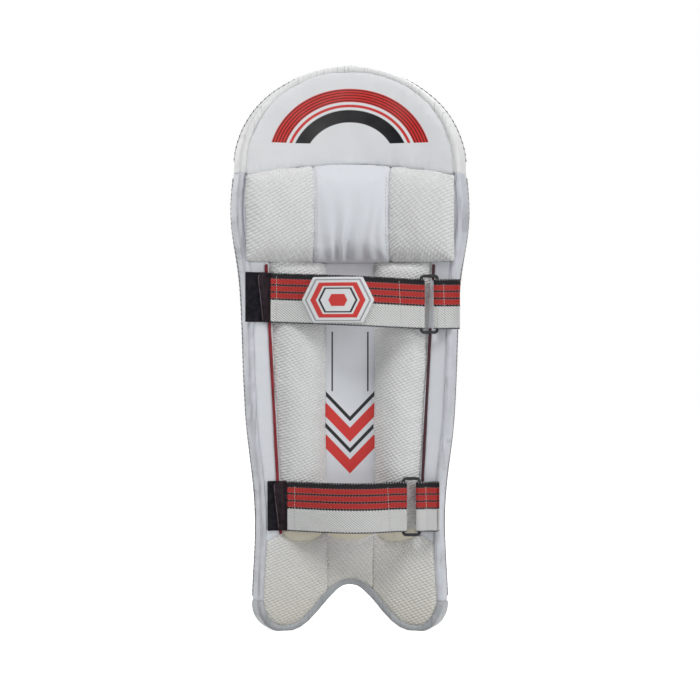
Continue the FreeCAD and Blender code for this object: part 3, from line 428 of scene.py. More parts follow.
def soft(node, body, material, voxel=0.004, cap=0.0, relief=None):
    """Padded piece over a CAD node: evened, swollen where a cap is given, then worked."""
    mesh = even(node, voxel)
    if cap:
        mesh = swollen(mesh, cap)
    if voxel >= COARSE_VOXEL:
        mesh = finer(mesh)
    mesh = worked(mesh, relief)
    dress(mesh, material)
    obj = link(node + "_cover", mesh)
    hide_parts(node)
    DRESSED[node] = tree_of(mesh)
    if body:
        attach(obj, body)
    return obj


def finished(name, grid):
    """Smooth-shaded mesh made from a bmesh, which is freed."""
    mesh = bpy.data.meshes.new(name)
    grid.to_mesh(mesh)
    grid.free()
    mesh.shade_smooth()
    return mesh


def diced(node, spacing, bevel):
    """Copy of a flat CAD node, cut into small faces across and up, its edges rounded."""
    grid = bmesh.new()
    grid.from_mesh(cad(node))
    bmesh.ops.remove_doubles(grid, verts=grid.verts, dist=1e-6)
    sharp = [edge for edge in grid.edges if edge.is_manifold and edge.calc_face_angle(0) > SHARP_ANGLE]
    bmesh.ops.bevel(grid, geom=sharp, offset=bevel, segments=2, affect="EDGES", clamp_overlap=True)
    low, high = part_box(node)
    for axis in (0, 2):
        count = int((high[axis] - low[axis]) / spacing)
        for k in range(1, count):
            at = Vector()
            at[axis] = low[axis] + (high[axis] - low[axis]) * k / count
            across = Vector()
            across[axis] = 1.0
            everything = grid.verts[:] + grid.edges[:] + grid.faces[:]
            bmesh.ops.bisect_plane(grid, geom=everything, plane_co=at, plane_no=across, dist=1e-6)
    return finished(node, grid)


# ---- shader building ----
class Shader:
    """A node material; numbers and sockets go in alike."""

    def __init__(self, name, roughness, sheen=0.0, coat=0.0, shine=0.3):
        self.material = bpy.data.materials.new(name)
        self.material.use_nodes = True
        self.tree = self.material.node_tree
        self.surface = self.tree.nodes["Principled BSDF"]
        given = (("Roughness", roughness), ("Sheen Weight", sheen), ("Coat Weight", coat),
                 ("Specular IOR Level", shine))
        for name, value in given:
            self.surface.inputs[name].default_value = value
        self.where = self.node("TexCoord").outputs["Object"]
        self.x, self.y, self.z = self.node("SeparateXYZ", self.where).outputs
        ahead = self.minus(BEND_CENTRE_Y, self.y)
        self.u = self.times(self.math("ARCTAN2", self.x, ahead), BEND_RADIUS)
        self.height = None

    def feed(self, socket, value):
        if isinstance(value, bpy.types.NodeSocket):
            self.tree.links.new(value, socket)
        else:
            socket.default_value = value

    def node(self, kind, *values, **named):
        """New node, its inputs fed in their order or by name."""
        node = self.tree.nodes.new("ShaderNode" + kind)
        for socket, value in zip(node.inputs, values):
            self.feed(socket, value)
        for name, value in named.items():
            self.feed(node.inputs[name], value)
        return node

    def math(self, operation, a, b=0.0):
        node = self.node("Math", a, b)
        node.operation = operation
        return node.outputs[0]

    def times(self, a, b):
        return self.math("MULTIPLY", a, b)

    def over(self, a, b):
        return self.math("DIVIDE", a, b)

    def plus(self, a, b):
        return self.math("ADD", a, b)

    def minus(self, a, b):
        return self.math("SUBTRACT", a, b)

    def size(self, a):
        return self.math("ABSOLUTE", a)

    def length(self, a, b):
        return self.math("SQRT", self.plus(self.times(a, a), self.times(b, b)))

    def wave(self, value, pitch):
        return self.math("SINE", self.times(value, 2 * math.pi / pitch))

    def between(self, value, low, high, blur=0.0003):
        """1 where value lies between low and high, else 0, with a soft edge."""
        up = self.ramp(value, low - blur, low + blur)
        down = self.ramp(value, high - blur, high + blur)
        return self.minus(up, down)

    def ramp(self, value, low, high, to_low=0.0, to_high=1.0):
        return self.node("MapRange", value, low, high, to_low, to_high).outputs[0]

    def mix(self, share, a, b):
        node = self.node("Mix")
        node.data_type = "RGBA"
        self.feed(node.inputs["Factor"], share)
        self.feed(node.inputs[6], a)
        self.feed(node.inputs[7], b)
        return node.outputs[2]

    def vector(self, x, y, z):
        return self.node("CombineXYZ", x, y, z).outputs[0]

    def noise(self, scale, detail=3.0, where=None):
        return self.node("TexNoise", Scale=scale, Detail=detail, Vector=where or self.where).outputs["Fac"]

    def patches(self, scale, low=0.3, high=0.7, to_low=0.0, to_high=1.0):
        """Soft cloudy variation."""
        return self.ramp(self.noise(scale), low, high, to_low, to_high)

    def cells(self, scale):
        return self.node("TexVoronoi", Scale=scale, Vector=self.where).outputs["Distance"]

    def stretched(self, wide, tall):
        """Coordinates whose noise is drawn out along the bend or upwards."""
        return self.vector(self.over(self.u, wide), self.over(self.z, tall), self.y)

    def attribute(self, name):
        node = self.node("Attribute")
        node.attribute_name = name
        return node.outputs["Fac"]

    def bump(self, height, depth, strength=1.0):
        node = self.node("Bump", Distance=depth, Strength=strength, Height=height)
        if self.height:
            self.feed(node.inputs["Normal"], self.height)
        self.height = node.outputs[0]
        self.feed(self.surface.inputs["Normal"], self.height)

    def colour(self, value):
        self.feed(self.surface.inputs["Base Color"], value)
        return self.material

    def roughness(self, value):
        self.feed(self.surface.inputs["Roughness"], value)


def shaded(shader, colour, worn, amount=0.12):
    """Colour with soft variation, and a little painted shade down in the seams."""
    patches = shader.ramp(shader.noise(14.0, 4.0), 0.35, 0.7, 0.0, amount)
    colour = shader.mix(patches, colour, worn)
    # painted shade: the colour darkens by up to 6% within 4 mm of a seam
    seam_shade = shader.ramp(shader.attribute("seam"), 0.0, 0.004, 0.06, 0.0)
    return shader.mix(seam_shade, colour, SEAM_SHADE)


def leather_grain(shader, depth=0.00022):
    grain = shader.cells(900.0)
    shader.bump(grain, depth, 0.5)
    drawn = shader.noise(1.0, 3.0, shader.stretched(0.010, 0.0012))
    shader.bump(drawn, depth, 0.35)
    shader.roughness(shader.patches(60.0, to_low=0.42, to_high=0.56))


def leather():
    shader = Shader("white_leather", 0.5, sheen=0.05)
    leather_grain(shader)
    low = shader.ramp(shader.z, 0.0, 0.45, 0.45, 0.0)
    colour = shader.mix(low, WHITE, CREAM)
    return shader.colour(shaded(shader, colour, WORN_LEATHER))


def cuffed(shader, colour):
    """Smooth cream vinyl at a bolster's lower end; also gives the share of the surface that is cloth."""
    cloth = shader.ramp(shader.z, CUFF_Z - 0.0005, CUFF_Z)
    return shader.mix(cloth, CUFF_CREAM, colour), cloth


def mesh_cloth(name, pitch, lean, rib, dark, cuff=False):
    """Knitted mesh: leaning ribs broken into staggered cells, with painted shade in the holes between the
    cells.
    """
    shader = Shader(name, 0.75, sheen=0.1, shine=0.2)
    climb = shader.times(shader.u, lean)
    rows = shader.over(shader.minus(shader.z, climb), rib)
    row = shader.math("FLOOR", rows)
    stagger = shader.times(shader.math("MODULO", shader.size(row), 2.0), 0.5)
    along = shader.plus(shader.over(shader.u, pitch), stagger)
    across = shader.times(shader.minus(shader.math("FRACT", along), 0.5), 0.85)
    rise = shader.minus(shader.math("FRACT", rows), 0.5)
    apart = shader.length(across, rise)
    low = shader.ramp(shader.z, 0.0, 0.16, 0.8, 0.0)
    colour = shader.mix(low, MESH_WHITE, CREAM)
    cells = shader.ramp(apart, 0.46, 0.10)
    # painted shade in the holes between the cells, up to the share dark
    hole_shade = shader.ramp(apart, 0.30, 0.52, 0.0, dark)
    if cuff:
        colour, cloth = cuffed(shader, colour)
        cells = shader.times(cells, cloth)
        hole_shade = shader.times(hole_shade, cloth)
    shader.bump(cells, 0.0011, 0.9)
    shader.bump(shader.noise(1400.0, 2.0), 0.0002, 0.4)
    colour = shader.mix(hole_shade, colour, MESH_HOLE_SHADE)
    return shader.colour(shaded(shader, colour, WORN_MESH))


def satin(name, colour):
    shader = Shader(name, 0.42, sheen=0.3)
    threads = shader.wave(shader.z, 0.0009)
    shader.bump(threads, 0.00006, 0.4)
    creases = shader.noise(1.0, 3.0, shader.stretched(0.016, 0.050))
    shader.bump(creases, 0.0012, 0.5)
    return shader, shaded(shader, colour, WORN_SATIN)


def plain_satin():
    shader, colour = satin("plain_satin", SATIN_WHITE)
    return shader.colour(colour)


def striped_satin():
    """Centre panel: slim chevrons, a pair of upright lines over them and a smooth foot."""
    shader, colour = satin("striped_satin", SATIN_WHITE)
    fold = shader.size(shader.u)
    climb = shader.minus(shader.z, fold)
    for low, high, ink in CHEVRONS:
        colour = shader.mix(shader.between(climb, low, high), colour, ink)
    lines = shader.times(shader.between(fold, *LINES_ACROSS), shader.between(shader.z, *LINES_HIGH))
    colour = shader.mix(lines, colour, BLACK)
    return shader.colour(cuffed(shader, colour)[0])


def printed_leather():
    """Top hat's inner face: arched bands that follow the top edge, fine lines in the widest."""
    shader = Shader("printed_leather", 0.5, shine=0.1)
    leather_grain(shader, 0.00012)
    across = shader.over(shader.u, ARCH_WIDE)
    rise = shader.over(shader.minus(shader.z, ARCH_FOOT_Z), ARCH_TALL)
    ring = shader.length(across, rise)
    above = shader.ramp(shader.z, *PRINT_Z)
    colour = WHITE
    for low, high, ink in ARCH_BANDS:
        band = shader.times(shader.between(ring, low, high, 0.004), above)
        colour = shader.mix(band, colour, ink)
    pins = shader.math("FRACT", shader.over(ring, PIN_PITCH))
    pins = shader.times(shader.between(pins, 0.0, PIN_SHARE, 0.05), band)
    colour = shader.mix(pins, colour, BLACK)
    return shader.colour(shaded(shader, colour, WORN_PRINT, 0.08))


def binding_vinyl(name, tone):
    """Vinyl binding: fine puckers across it, lighter patches as painted highlights, darker streaks as painted
    shade in its creases, and a dark cord line beside the lining where there is one.
    """
    shader = Shader(name, 0.38, shine=0.4)
    shader.bump(shader.noise(1.0, 3.0, shader.stretched(0.004, 0.004)), 0.0005, 0.4)
    shader.bump(shader.cells(1200.0), 0.0001, 0.4)
    # tone of the patches that stand for painted highlights on the glossy vinyl, capped at 0.85
    highlight_tone = tuple(min(1.2 * part, 0.85) for part in tone[:3]) + (1,)
    vinyl = shader.mix(shader.patches(45.0), tone, highlight_tone)
    # painted shade: streaks drawn out upwards darken the vinyl toward a deeper tone, standing for its creases
    creases = shader.noise(1.0, 3.0, shader.stretched(0.003, 0.050))
    deep = tuple(0.55 * part for part in tone[:3]) + (1,)
    vinyl = shader.mix(shader.ramp(creases, 0.54, 0.66, 0.0, 0.5), vinyl, deep)
    line = shader.ramp(shader.attribute("edge"), CORD_LINE, CORD_LINE + 0.0005)
    return shader.colour(shader.mix(line, vinyl, SLATE))


def cord_cloth(name, colour, dark):
    shader = Shader(name, 0.6, sheen=0.2)
    along = shader.plus(shader.x, shader.z)
    twist = shader.wave(along, 0.002)
    shader.bump(twist, 0.0003, 0.6)
    shader.bump(shader.noise(1500.0), 0.0002, 0.4)
    return shader.colour(shader.mix(shader.patches(70.0), colour, dark))


def twill(shader):
    """Fine diagonal ribs of a woven band."""
    ribs = shader.minus(shader.times(shader.x, 0.8), shader.z)
    ribs = shader.wave(ribs, 0.0030)
    shader.bump(ribs, 0.0007, 0.8)
    picks = shader.wave(shader.x, 0.0008)
    shader.bump(picks, 0.00010, 0.4)
    return ribs


def webbing_cloth(name, low_z, slope, from_x):
    """Elastic band: a black top edge, a slate line along the lower edge, three red bands with black lines,
    white twill below them; the twill's rib crests carry a painted highlight and its hollows painted shade.
    """
    shader = Shader(name, 0.75, shine=0.12)
    ribs = twill(shader)
    rise = shader.times(shader.minus(shader.x, from_x), slope)
    height = shader.minus(shader.minus(shader.z, rise), low_z)
    height = shader.plus(height, shader.times(shader.math("SIGN", ribs), 0.00035))
    colour = WEB_WHITE
    for low, high, ink in WEB_BANDS:
        colour = shader.mix(shader.between(height, low, high), colour, ink)
    edge = shader.times(shader.between(height, WEB_WIDTH - 0.0012, WEB_WIDTH + 0.01), 0.8)
    teeth = shader.wave(shader.x, 0.0032)
    teeth = shader.ramp(teeth, 0.2, 0.4)
    colour = shader.mix(shader.times(edge, teeth), colour, THREAD)
    # painted highlight on the crests of the twill's ribs, and painted shade in the hollows between them
    rib_highlight = shader.ramp(ribs, 0.6, 1.0, 0.0, 0.07)
    colour = shader.mix(rib_highlight, colour, WHITE)
    rib_shade = shader.ramp(ribs, -1.0, 0.0, 0.18, 0.0)
    return shader.colour(shader.mix(rib_shade, colour, TWILL_SHADE))


def hook_cloth(name, colour, dark):
    """Hook or loop tape: dark pile in fine rows."""
    shader = Shader(name, 0.9, shine=0.1)
    shader.bump(shader.cells(1300.0), 0.0008, 0.8)
    shader.bump(shader.noise(400.0, 4.0), 0.0004, 0.5)
    return shader.colour(shader.mix(shader.patches(160.0, 0.35, 0.7), colour, dark))


def moulded(name, colour, light):
    shader = Shader(name, 0.38, coat=0.1)
    shader.bump(shader.noise(900.0, 4.0), 0.0001, 0.5)
    shader.roughness(shader.patches(120.0, to_low=0.30, to_high=0.50))
    return shader.colour(shader.mix(shader.patches(50.0, 0.45, 0.75), colour, light))


def foam():
    shader = Shader("foam", 0.9)
    shader.bump(shader.cells(500.0), 0.0006, 0.6)
    patches = shader.patches(80.0)
    return shader.colour(shader.mix(patches, (0.72, 0.71, 0.68, 1), (0.6, 0.59, 0.56, 1)))


def cane_wood():
    shader = Shader("cane", 0.6)
    strands = shader.noise(1.0, 4.0, shader.stretched(0.0015, 0.06))
    shader.bump(strands, 0.0004, 0.6)
    return shader.colour(shader.mix(strands, (0.52, 0.36, 0.18, 1), (0.36, 0.22, 0.10, 1)))


# ---- materials ----
LEATHER = leather()
KNEE_MESH = mesh_cloth("knee_mesh", 0.0060, -0.5, 0.0044, 0.20)
MESH = mesh_cloth("ribbed_mesh", 0.0052, -0.36, 0.0036, 0.20)
BOLSTER_MESH = mesh_cloth("bolster_mesh", 0.0052, -0.36, 0.0036, 0.20, cuff=True)
SATIN = plain_satin()
CENTRE = striped_satin()
PRINT = printed_leather()
SIDE_VINYL = binding_vinyl("side_vinyl", LAVENDER)
FOOT_VINYL = binding_vinyl("foot_vinyl", SILVER)
TOP_VINYL = binding_vinyl("top_vinyl", MESH_WHITE)
PIPING = cord_cloth("red_cord", DARK_RED, (0.20, 0.012, 0.018, 1))
DARK_PIPING = cord_cloth("plum_cord", (0.07, 0.012, 0.022, 1), (0.04, 0.01, 0.016, 1))
THREAD_WHITE = cord_cloth("white_thread", THREAD, (0.58, 0.58, 0.57, 1))
EDGE_CORD = cord_cloth("grey_edge", (0.20, 0.21, 0.23, 1), (0.13, 0.14, 0.16, 1))
TAB_EDGE = cord_cloth("tab_edge", (0.17, 0.14, 0.16, 1), (0.11, 0.09, 0.11, 1))
THREAD_GREY = cord_cloth("grey_thread", SLATE, (0.06, 0.065, 0.075, 1))
LOOP = hook_cloth("loop_tape", BLACK, (0.030, 0.027, 0.036, 1))
HOOK = hook_cloth("hook_tape", BROWN_BLACK, (0.036, 0.026, 0.032, 1))
RING = moulded("black_moulding", BLACK, (0.05, 0.05, 0.055, 1))
FOAM = foam()
CANE = cane_wood()


# ---- reliefs ----
KNEE_LOW, KNEE_HIGH = (corner.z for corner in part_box("knee_bolster_middle"))


def dome(side, distance):
    """Roundness of a fat cushion's rear."""
    return KNEE_DOME * (1 - math.exp(-distance / 0.016)) if side < 0 else 0.0


def gathers(u, z, side, distance):
    """Upright gathers of the knee bolster's middle: loose and deep below, almost none at the top."""
    if side > 0:
        return 0.0
    share = (z - KNEE_LOW) / (KNEE_HIGH - KNEE_LOW)
    drift = 0.012 * field(u, z, 0.06, 0.06, 1.3)
    fold = math.sin((u + drift) * 2 * math.pi / GATHER_PITCH + 2.4 * field(u, z, 0.03, 0.10, 5.5))
    loose = 0.35 + 0.65 * max(field(u, z, 0.022, 0.20, 4.7) + 0.3, 0.0)
    strength = GATHER_DEPTH * max(GATHERED - share, 0.0) ** 1.1 + 0.0004
    return strength * fold * loose * min(distance / 0.006, 1.0) + dome(side, distance)


def dents(u, z, _, distance):
    """Slack hollows of the quilted mesh cushions."""
    slack = 0.0016 * field(u, z, 0.028, 0.040, 9.1)
    pinch = 0.0007 * field(u, z, 0.050, 0.009, 2.2) * math.exp(-distance / 0.014)
    return slack + pinch


def knee_dents(u, z, side, distance):
    return dents(u, z, side, distance) + dome(side, distance)


def shin_dimples(u, z, side, distance):
    """Faint pinches down the shin bolsters, where the stitching draws the padding in."""
    if side < 0:
        return 0.0
    across = 0.0010 * field(u, z, 0.06, 0.010, 4.4) * math.exp(-distance / 0.008)
    return across - 0.0006 * max(field(u, z, 0.018, 0.022, 8.8), 0.0)


def roll_creases(u, z, side, distance):
    """Upright creases of the knee rolls, beside their seams."""
    if side < 0:
        return 0.0
    return 0.0011 * field(u, z, 0.012, 0.05, 6.1) * math.exp(-distance / 0.010)


# ---- front ----
def front():
    for number in range(1, 7):
        soft("shin_bolster_%d" % number, "pad", LEATHER, cap=0.003, relief=shin_dimples)
    soft("outer_wing", "pad", LEATHER, voxel=0.003)
    soft("instep_front_panel", "pad", LEATHER, voxel=0.003)
    for name in ("knee_roll_lower", "knee_roll_middle"):
        soft(name, "pad", LEATHER, cap=0.003, relief=roll_creases)
    upper = soft("knee_roll_upper", None, LEATHER, cap=0.003, relief=roll_creases)
    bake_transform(upper)
    for number in range(1, 9):
        node = "top_hat_bolster_%d" % number
        soft(node, "top_hat", LEATHER, cap=0.002, relief=shin_dimples)


# ---- inner face ----
def inner_face():
    for side in ("left", "right"):
        soft("inner_bolster_" + side, "pad", BOLSTER_MESH, cap=0.003, relief=dents)
        soft("knee_bolster_" + side, "pad", KNEE_MESH, cap=0.006, relief=knee_dents)
        soft("knee_lining_" + side, "pad", SATIN, voxel=0.002)
        soft("wing_lining_" + side, "pad", SATIN, voxel=0.002)
        soft("instep_lining_" + side, "pad", MESH, voxel=0.003)
        cord = PIPING if side == "left" else DARK_PIPING
        piping = soft("bolster_piping_" + side, "pad", cord, voxel=PIPING_VOXEL)
        tuck_ends(piping.data)
    soft("instep_lining_middle", "pad", MESH, voxel=0.003)
    soft("knee_bolster_middle", "pad", SATIN, cap=0.006, relief=gathers)
    soft("centre_panel", "pad", CENTRE, voxel=0.002)
    soft("top_hat_lining", "top_hat", PRINT, voxel=0.004, relief=dents)


def tuck_ends(mesh):
    """Draws the piping's ends beside each strap on under it."""
    points = points_of(mesh)
    heights = np.sort(points[:, 2])
    for k in np.flatnonzero(np.diff(heights) > PIPING_BREAK):
        for end, way in ((heights[k], 1), (heights[k + 1], -1)):
            share = np.clip(1 - way * (end - points[:, 2]) / PIPING_TUCK, 0.0, 1.0)
            share[way * (points[:, 2] - end) > 0.0005] = 0.0
            points[:, 2] += way * PIPING_TUCK * share
    set_points(mesh, points)


def bindings():
    """The pad's edge; the foot's binding also learns how far each place lies from the outline."""
    pieces = (
        ("side_binding_left", "pad", SIDE_VINYL),
        ("side_binding_right", "pad", SIDE_VINYL),
        ("foot_binding", "pad", FOOT_VINYL),
        ("top_binding", "top_hat", TOP_VINYL),
    )
    for name, body, vinyl in pieces:
        soft(name, body, vinyl, voxel=0.002)
    linings = []
    for node in ("instep_lining_left", "instep_lining_middle", "instep_lining_right", "wing_lining_left",
                 "wing_lining_right", "outer_wing", "shin_bolster_1", "shin_bolster_6", "instep_front_panel"):
        linings.append(pad_coordinates(rounded(points_of(cad(node))))[:, :2])
    foot = bpy.data.objects["foot_binding_cover"].data
    keep(foot, "edge", edge_of(foot, sheet_tree(np.vstack(linings))))


def edge_of(mesh, inner):
    """Distance of each vertex of a binding from the pad's outline; inner holds the places of its linings."""
    points = points_of(mesh)
    normals = normals_of(mesh)
    sheet = pad_coordinates(points)
    angle = sheet[:, 0] / BEND_RADIUS
    across = normals[:, 0] * np.cos(angle) + normals[:, 1] * np.sin(angle)
    wall = []
    for k in np.flatnonzero(np.hypot(across, normals[:, 2]) > WALL_TURN):
        spot = inner.find((sheet[k, 0], sheet[k, 1], 0.0))[0]
        if (sheet[k, 0] - spot[0]) * across[k] + (sheet[k, 1] - spot[1]) * normals[k, 2] > 0:
            wall.append(sheet[k, :2])
    tree = sheet_tree(wall)
    return np.array([tree.find((u, z, 0.0))[2] for u, z in sheet[:, :2]])


# ---- stitching ----
def stitches(name, runs, body, slot, material, radius=0.00045, length=0.0034, pitch=0.0048):
    """Rows of sewing thread along runs of points: each stitch is a slim spindle that dips in at both ends."""
    grid = bmesh.new()
    for run in runs:
        steps = [0.0]
        for a, b in zip(run, run[1:]):
            steps.append(steps[-1] + (b - a).length)
        count = int(steps[-1] / pitch)
        for k in range(count):
            ends = [point_along(run, steps, k * pitch + offset) for offset in (0.0, length)]
            spindle(grid, ends[0], ends[1], radius)
    sewn(name, grid, body, material)


def threads(name, runs, body, slot, material, radius):
    """Continuous threads, each a round tube through its points."""
    grid = bmesh.new()
    for run in runs:
        tube(grid, run, radius)
    sewn(name, grid, body, material)


def sewn(name, grid, body, material):
    mesh = finished(name, grid)
    dress(mesh, material)
    obj = link(name, mesh)
    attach(obj, body)


def ring_round(grid, centre, side, other, radius):
    """Ring of new vertices round a thread's middle line."""
    ring = []
    for k in range(THREAD_SIDES):
        turn = 2 * math.pi * k / THREAD_SIDES
        ring.append(grid.verts.new(centre + (side * math.cos(turn) + other * math.sin(turn)) * radius))
    return ring


def skin(grid, rings):
    """Faces between the rings of a thread, and over its two ends."""
    for a, b in zip(rings, rings[1:]):
        for k in range(THREAD_SIDES):
            after = (k + 1) % THREAD_SIDES
            grid.faces.new((a[k], a[after], b[after], b[k]))
    grid.faces.new(rings[0][::-1])
    grid.faces.new(rings[-1])


def tube(grid, run, radius):
    """Thread through a run of points, slimmer at its ends."""
    rings = []
    for k, point in enumerate(run):
        line = (run[min(k + 1, len(run) - 1)] - run[max(k - 1, 0)]).normalized()
        side = line.cross(Vector((0.31, 0.17, 0.93))).normalized()
        other = line.cross(side)
        thick = radius * (0.5 if k in (0, len(run) - 1) else 1.0)
        rings.append(ring_round(grid, point, side, other, thick))
    skin(grid, rings)


def point_along(run, steps, distance):
    """Point at a distance along a run; steps are the distances of its points."""
    for k in range(1, len(run)):
        if distance <= steps[k] or k == len(run) - 1:
            share = (distance - steps[k - 1]) / max(steps[k] - steps[k - 1], 1e-9)
            return run[k - 1].lerp(run[k], min(share, 1.0))


def spindle(grid, start, end, radius):
    """Thread between two points, thickest in the middle."""
    line = end - start
    side = line.orthogonal().normalized()
    other = line.normalized().cross(side)
    rings = []
    for share, thick in ((0.0, 0.35), (0.2, 0.85), (0.5, 1.0), (0.8, 0.85), (1.0, 0.35)):
        rings.append(ring_round(grid, start + line * share, side, other, radius * thick))
    skin(grid, rings)


def run_on(node, route):
    """Route of (u, z) places laid on a dressed piece's rear; places that miss it are left out."""
    laid = []
    for u, z in route:
        start = place(u, REAR * SIGHT, z)
        toward = (place(u, -REAR * SIGHT, z) - start).normalized()
        spot = DRESSED[node].ray_cast(start, toward)[0]
        if spot is not None:
            laid.append(spot - toward * THREAD_LIFT)
    return laid


def ladder(low, high, count=40):
    return [low + (high - low) * k / count for k in range(count + 1)]


def seam_stitching():
    """Top stitching beside the knee bolster's and the instep linings' seams."""
    rows = []
    for side, sign in SIDES:
        low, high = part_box("knee_bolster_middle")
        seam = (high.x if sign > 0 else low.x) * 0.985
        heights = ladder(KNEE_LOW + 0.012, KNEE_HIGH - 0.014)
        rows.append(run_on("knee_bolster_middle", [(seam, z) for z in heights]))
        low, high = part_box("instep_lining_" + side)
        seam = low.x + 0.0035 if sign > 0 else high.x - 0.0035
        rows.append(run_on("instep_lining_" + side, [(seam, z) for z in ladder(0.070, high.z - 0.006)]))
    stitches("lining_stitches", rows, "pad", "satin", THREAD_WHITE)


def edge_cords():
    """Two-strand twisted cord sewn round the top hat's outermost edge, and a finer one down both sides."""
    points = points_of(bpy.data.objects["top_binding_cover"].data)
    spring = points[:, 2].max() - CURVE_RISE
    turns = np.arctan2(points[:, 0], points[:, 2] - spring)
    reach = np.hypot(points[:, 0], points[:, 2] - spring)
    steps = np.radians(np.arange(-CORD_END, CORD_END + 0.1, CORD_TURN))
    tops = [outermost(points, np.abs(turns - turn) < math.radians(CORD_NEAR), reach) for turn in steps]
    twisted("top_cord", tops, (0, spring), "top_hat", (THREAD_GREY, THREAD_WHITE), 0.0008, 0.0075)
    for side, sign in SIDES:
        points = points_of(bpy.data.objects["side_binding_%s_cover" % side].data)
        heights = ladder(points[:, 2].min() + 0.006, points[:, 2].max() - 0.004, 80)
        rims = [outermost(points, np.abs(points[:, 2] - z) < 0.004, sign * points[:, 0]) for z in heights]
        twisted("side_cord_" + side, rims, None, "pad", (EDGE_CORD, THREAD_WHITE), 0.0006, 0.0060)


def outermost(points, near, reach):
    """Middle of the few points that reach farthest out, among those near by."""
    chosen = np.flatnonzero(near)
    return points[chosen[np.argsort(reach[chosen])[-6:]]].mean(axis=0)


def twisted(name, rim, centre, body, materials, radius, pitch):
    """Two strands wound round each other along a rim, which faces away from centre, or sideways if None."""
    rim = np.array(rim)
    for axis in range(3):
        padded = np.pad(rim[:, axis], SMOOTHED // 2, mode="reflect", reflect_type="odd")
        rim[:, axis] = np.convolve(padded, np.ones(SMOOTHED) / SMOOTHED, "valid")
    steps = np.concatenate([[0.0], np.cumsum(np.linalg.norm(np.diff(rim, axis=0), axis=1))])
    fine = np.arange(0.0, steps[-1], CORD_STEP)
    path = [Vector([np.interp(step, steps, rim[:, axis]) for axis in range(3)]) for step in fine]
    strands = ([], [])
    for k, point in enumerate(path):
        line = (path[min(k + 1, len(path) - 1)] - path[max(k - 1, 0)]).normalized()
        away = Vector((point.x - centre[0], 0, point.z - centre[1])) if centre else Vector((point.x, 0, 0))
        aside = line.cross(away).normalized()
        away = aside.cross(line).normalized()
        for strand, phase in zip(strands, (0.0, math.pi)):
            turn = 2 * math.pi * fine[k] / pitch + phase
            strand.append(point + (aside * math.cos(turn) + away * (0.4 + math.sin(turn))) * radius * 0.9)
    for number, (strand, material) in enumerate(zip(strands, materials)):
        threads("%s_strand_%d" % (name, number), [strand], body, "piping", material, radius)


# ---- straps ----
def banded(node, body, material, spacing=0.003, bevel=0.0004):
    """Flat band or badge over a CAD node."""
    mesh = diced(node, spacing, bevel)
    dress(mesh, material)
    obj = link(node + "_cloth", mesh)
    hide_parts(node)
    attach(obj, body)
    DRESSED[node] = tree_of(mesh)
    return obj


def hook_tab(which, body):
    """Hook tab whose free end slants and has a round upper corner, with a pale sewn edge."""
    node = which + "_hook_tab"
    tab = banded(node, body, HOOK, spacing=0.002, bevel=0.0003)
    points = points_of(tab.data)
    low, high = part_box(node)
    order = np.argsort(points[:, 0])
    line = (points[order, 0], np.convolve(points[order, 1], np.ones(41) / 41, "same"))
    inner = slice(20, -20)
    start = low.x + TAB_HIDDEN * (high.x - low.x)

    def end_at(z):
        share = (z - low.z) / (high.z - low.z)
        corner = max((share - TAB_CORNER) / (1 - TAB_CORNER), 0.0)
        return high.x - TAB_SLANT * (1 - share) - TAB_SLANT * (1 - math.sqrt(max(1 - corner * corner, 0.0)))

    for k, (x, y, z) in enumerate(points):
        if x > start:
            moved = start + (x - start) * (end_at(z) - start) / (high.x - start)
            there, here = np.interp((moved, x), line[0][inner], line[1][inner])
            points[k] = (moved, y + there - here, z)
    set_points(tab.data, points)
    surface = tree_of(tab.data)
    edge = []
    for z in ladder(low.z + 0.003, high.z - 0.003, 30):
        spot = surface.ray_cast(Vector((end_at(z) - TAB_EDGE_IN, high.y + 0.05, z)), Vector((0, -1, 0)))[0]
        if spot is not None:
            edge.append(spot)
    threads(node + "_edge", [edge], body, "hook_tape", TAB_EDGE, radius=0.0005)


def strap_stitching(which, body):
    """Short sewn rows across the webbing's ends and the anchor tab."""
    size = {"radius": 0.00035, "length": 0.0028, "pitch": 0.0036}
    runs = [row_across(which + "_webbing", x, lean) for x, lean in SEWN_AT[which]]
    stitches(which + "_webbing_stitches", runs, body, "webbing", THREAD_WHITE, **size)
    run = row_across(which + "_anchor_tab", *ANCHOR_SEWN_AT[which])
    stitches(which + "_anchor_stitches", [run], "pad", "webbing", THREAD_WHITE, **size)


def row_across(node, x, lean):
    """Points up a band's rear face, leaning sideways by lean."""
    low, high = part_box(node)
    run = []
    for z in ladder(low.z + 0.003, high.z - 0.003, 30):
        share = (z - low.z) / (high.z - low.z)
        start = Vector((x + lean * (share - 0.5), high.y + 0.05, z))
        spot = DRESSED[node].ray_cast(start, Vector((0, -1, 0)))[0]
        if spot is not None:
            run.append(spot + Vector((0, THREAD_LIFT, 0)))
    return run


def straps():
    for which in ("upper", "lower"):
        body = which + "_strap"
        low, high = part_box(which + "_webbing")
        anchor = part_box(which + "_anchor_tab")
        width = anchor[1].z - anchor[0].z
        slope = (high.z - low.z - width) / (high.x - low.x)
        cloth = webbing_cloth(which + "_band", anchor[0].z, slope, low.x)
        level = webbing_cloth(which + "_anchor_band", anchor[0].z, 0.0, low.x)
        banded(which + "_webbing", body, cloth)
        banded(which + "_anchor_tab", "pad", level)
        hook_tab(which, body)
        banded(which + "_loop_patch", "pad", LOOP)
        strap_stitching(which, body)
        cad(which + "_ring").materials[0] = RING


# ---- badges ----
def hexagon_inset(shader, across, rise, half_width, half_height):
    """0 at the middle and 1 on the outline of a hexagon with level top and bottom."""
    over = shader.times(shader.over(shader.size(rise), half_height),
                       half_height / 2 / half_width)
    lean = shader.plus(shader.over(shader.size(across), half_width), over)
    return shader.math("MAXIMUM", lean, shader.over(shader.size(rise), half_height))


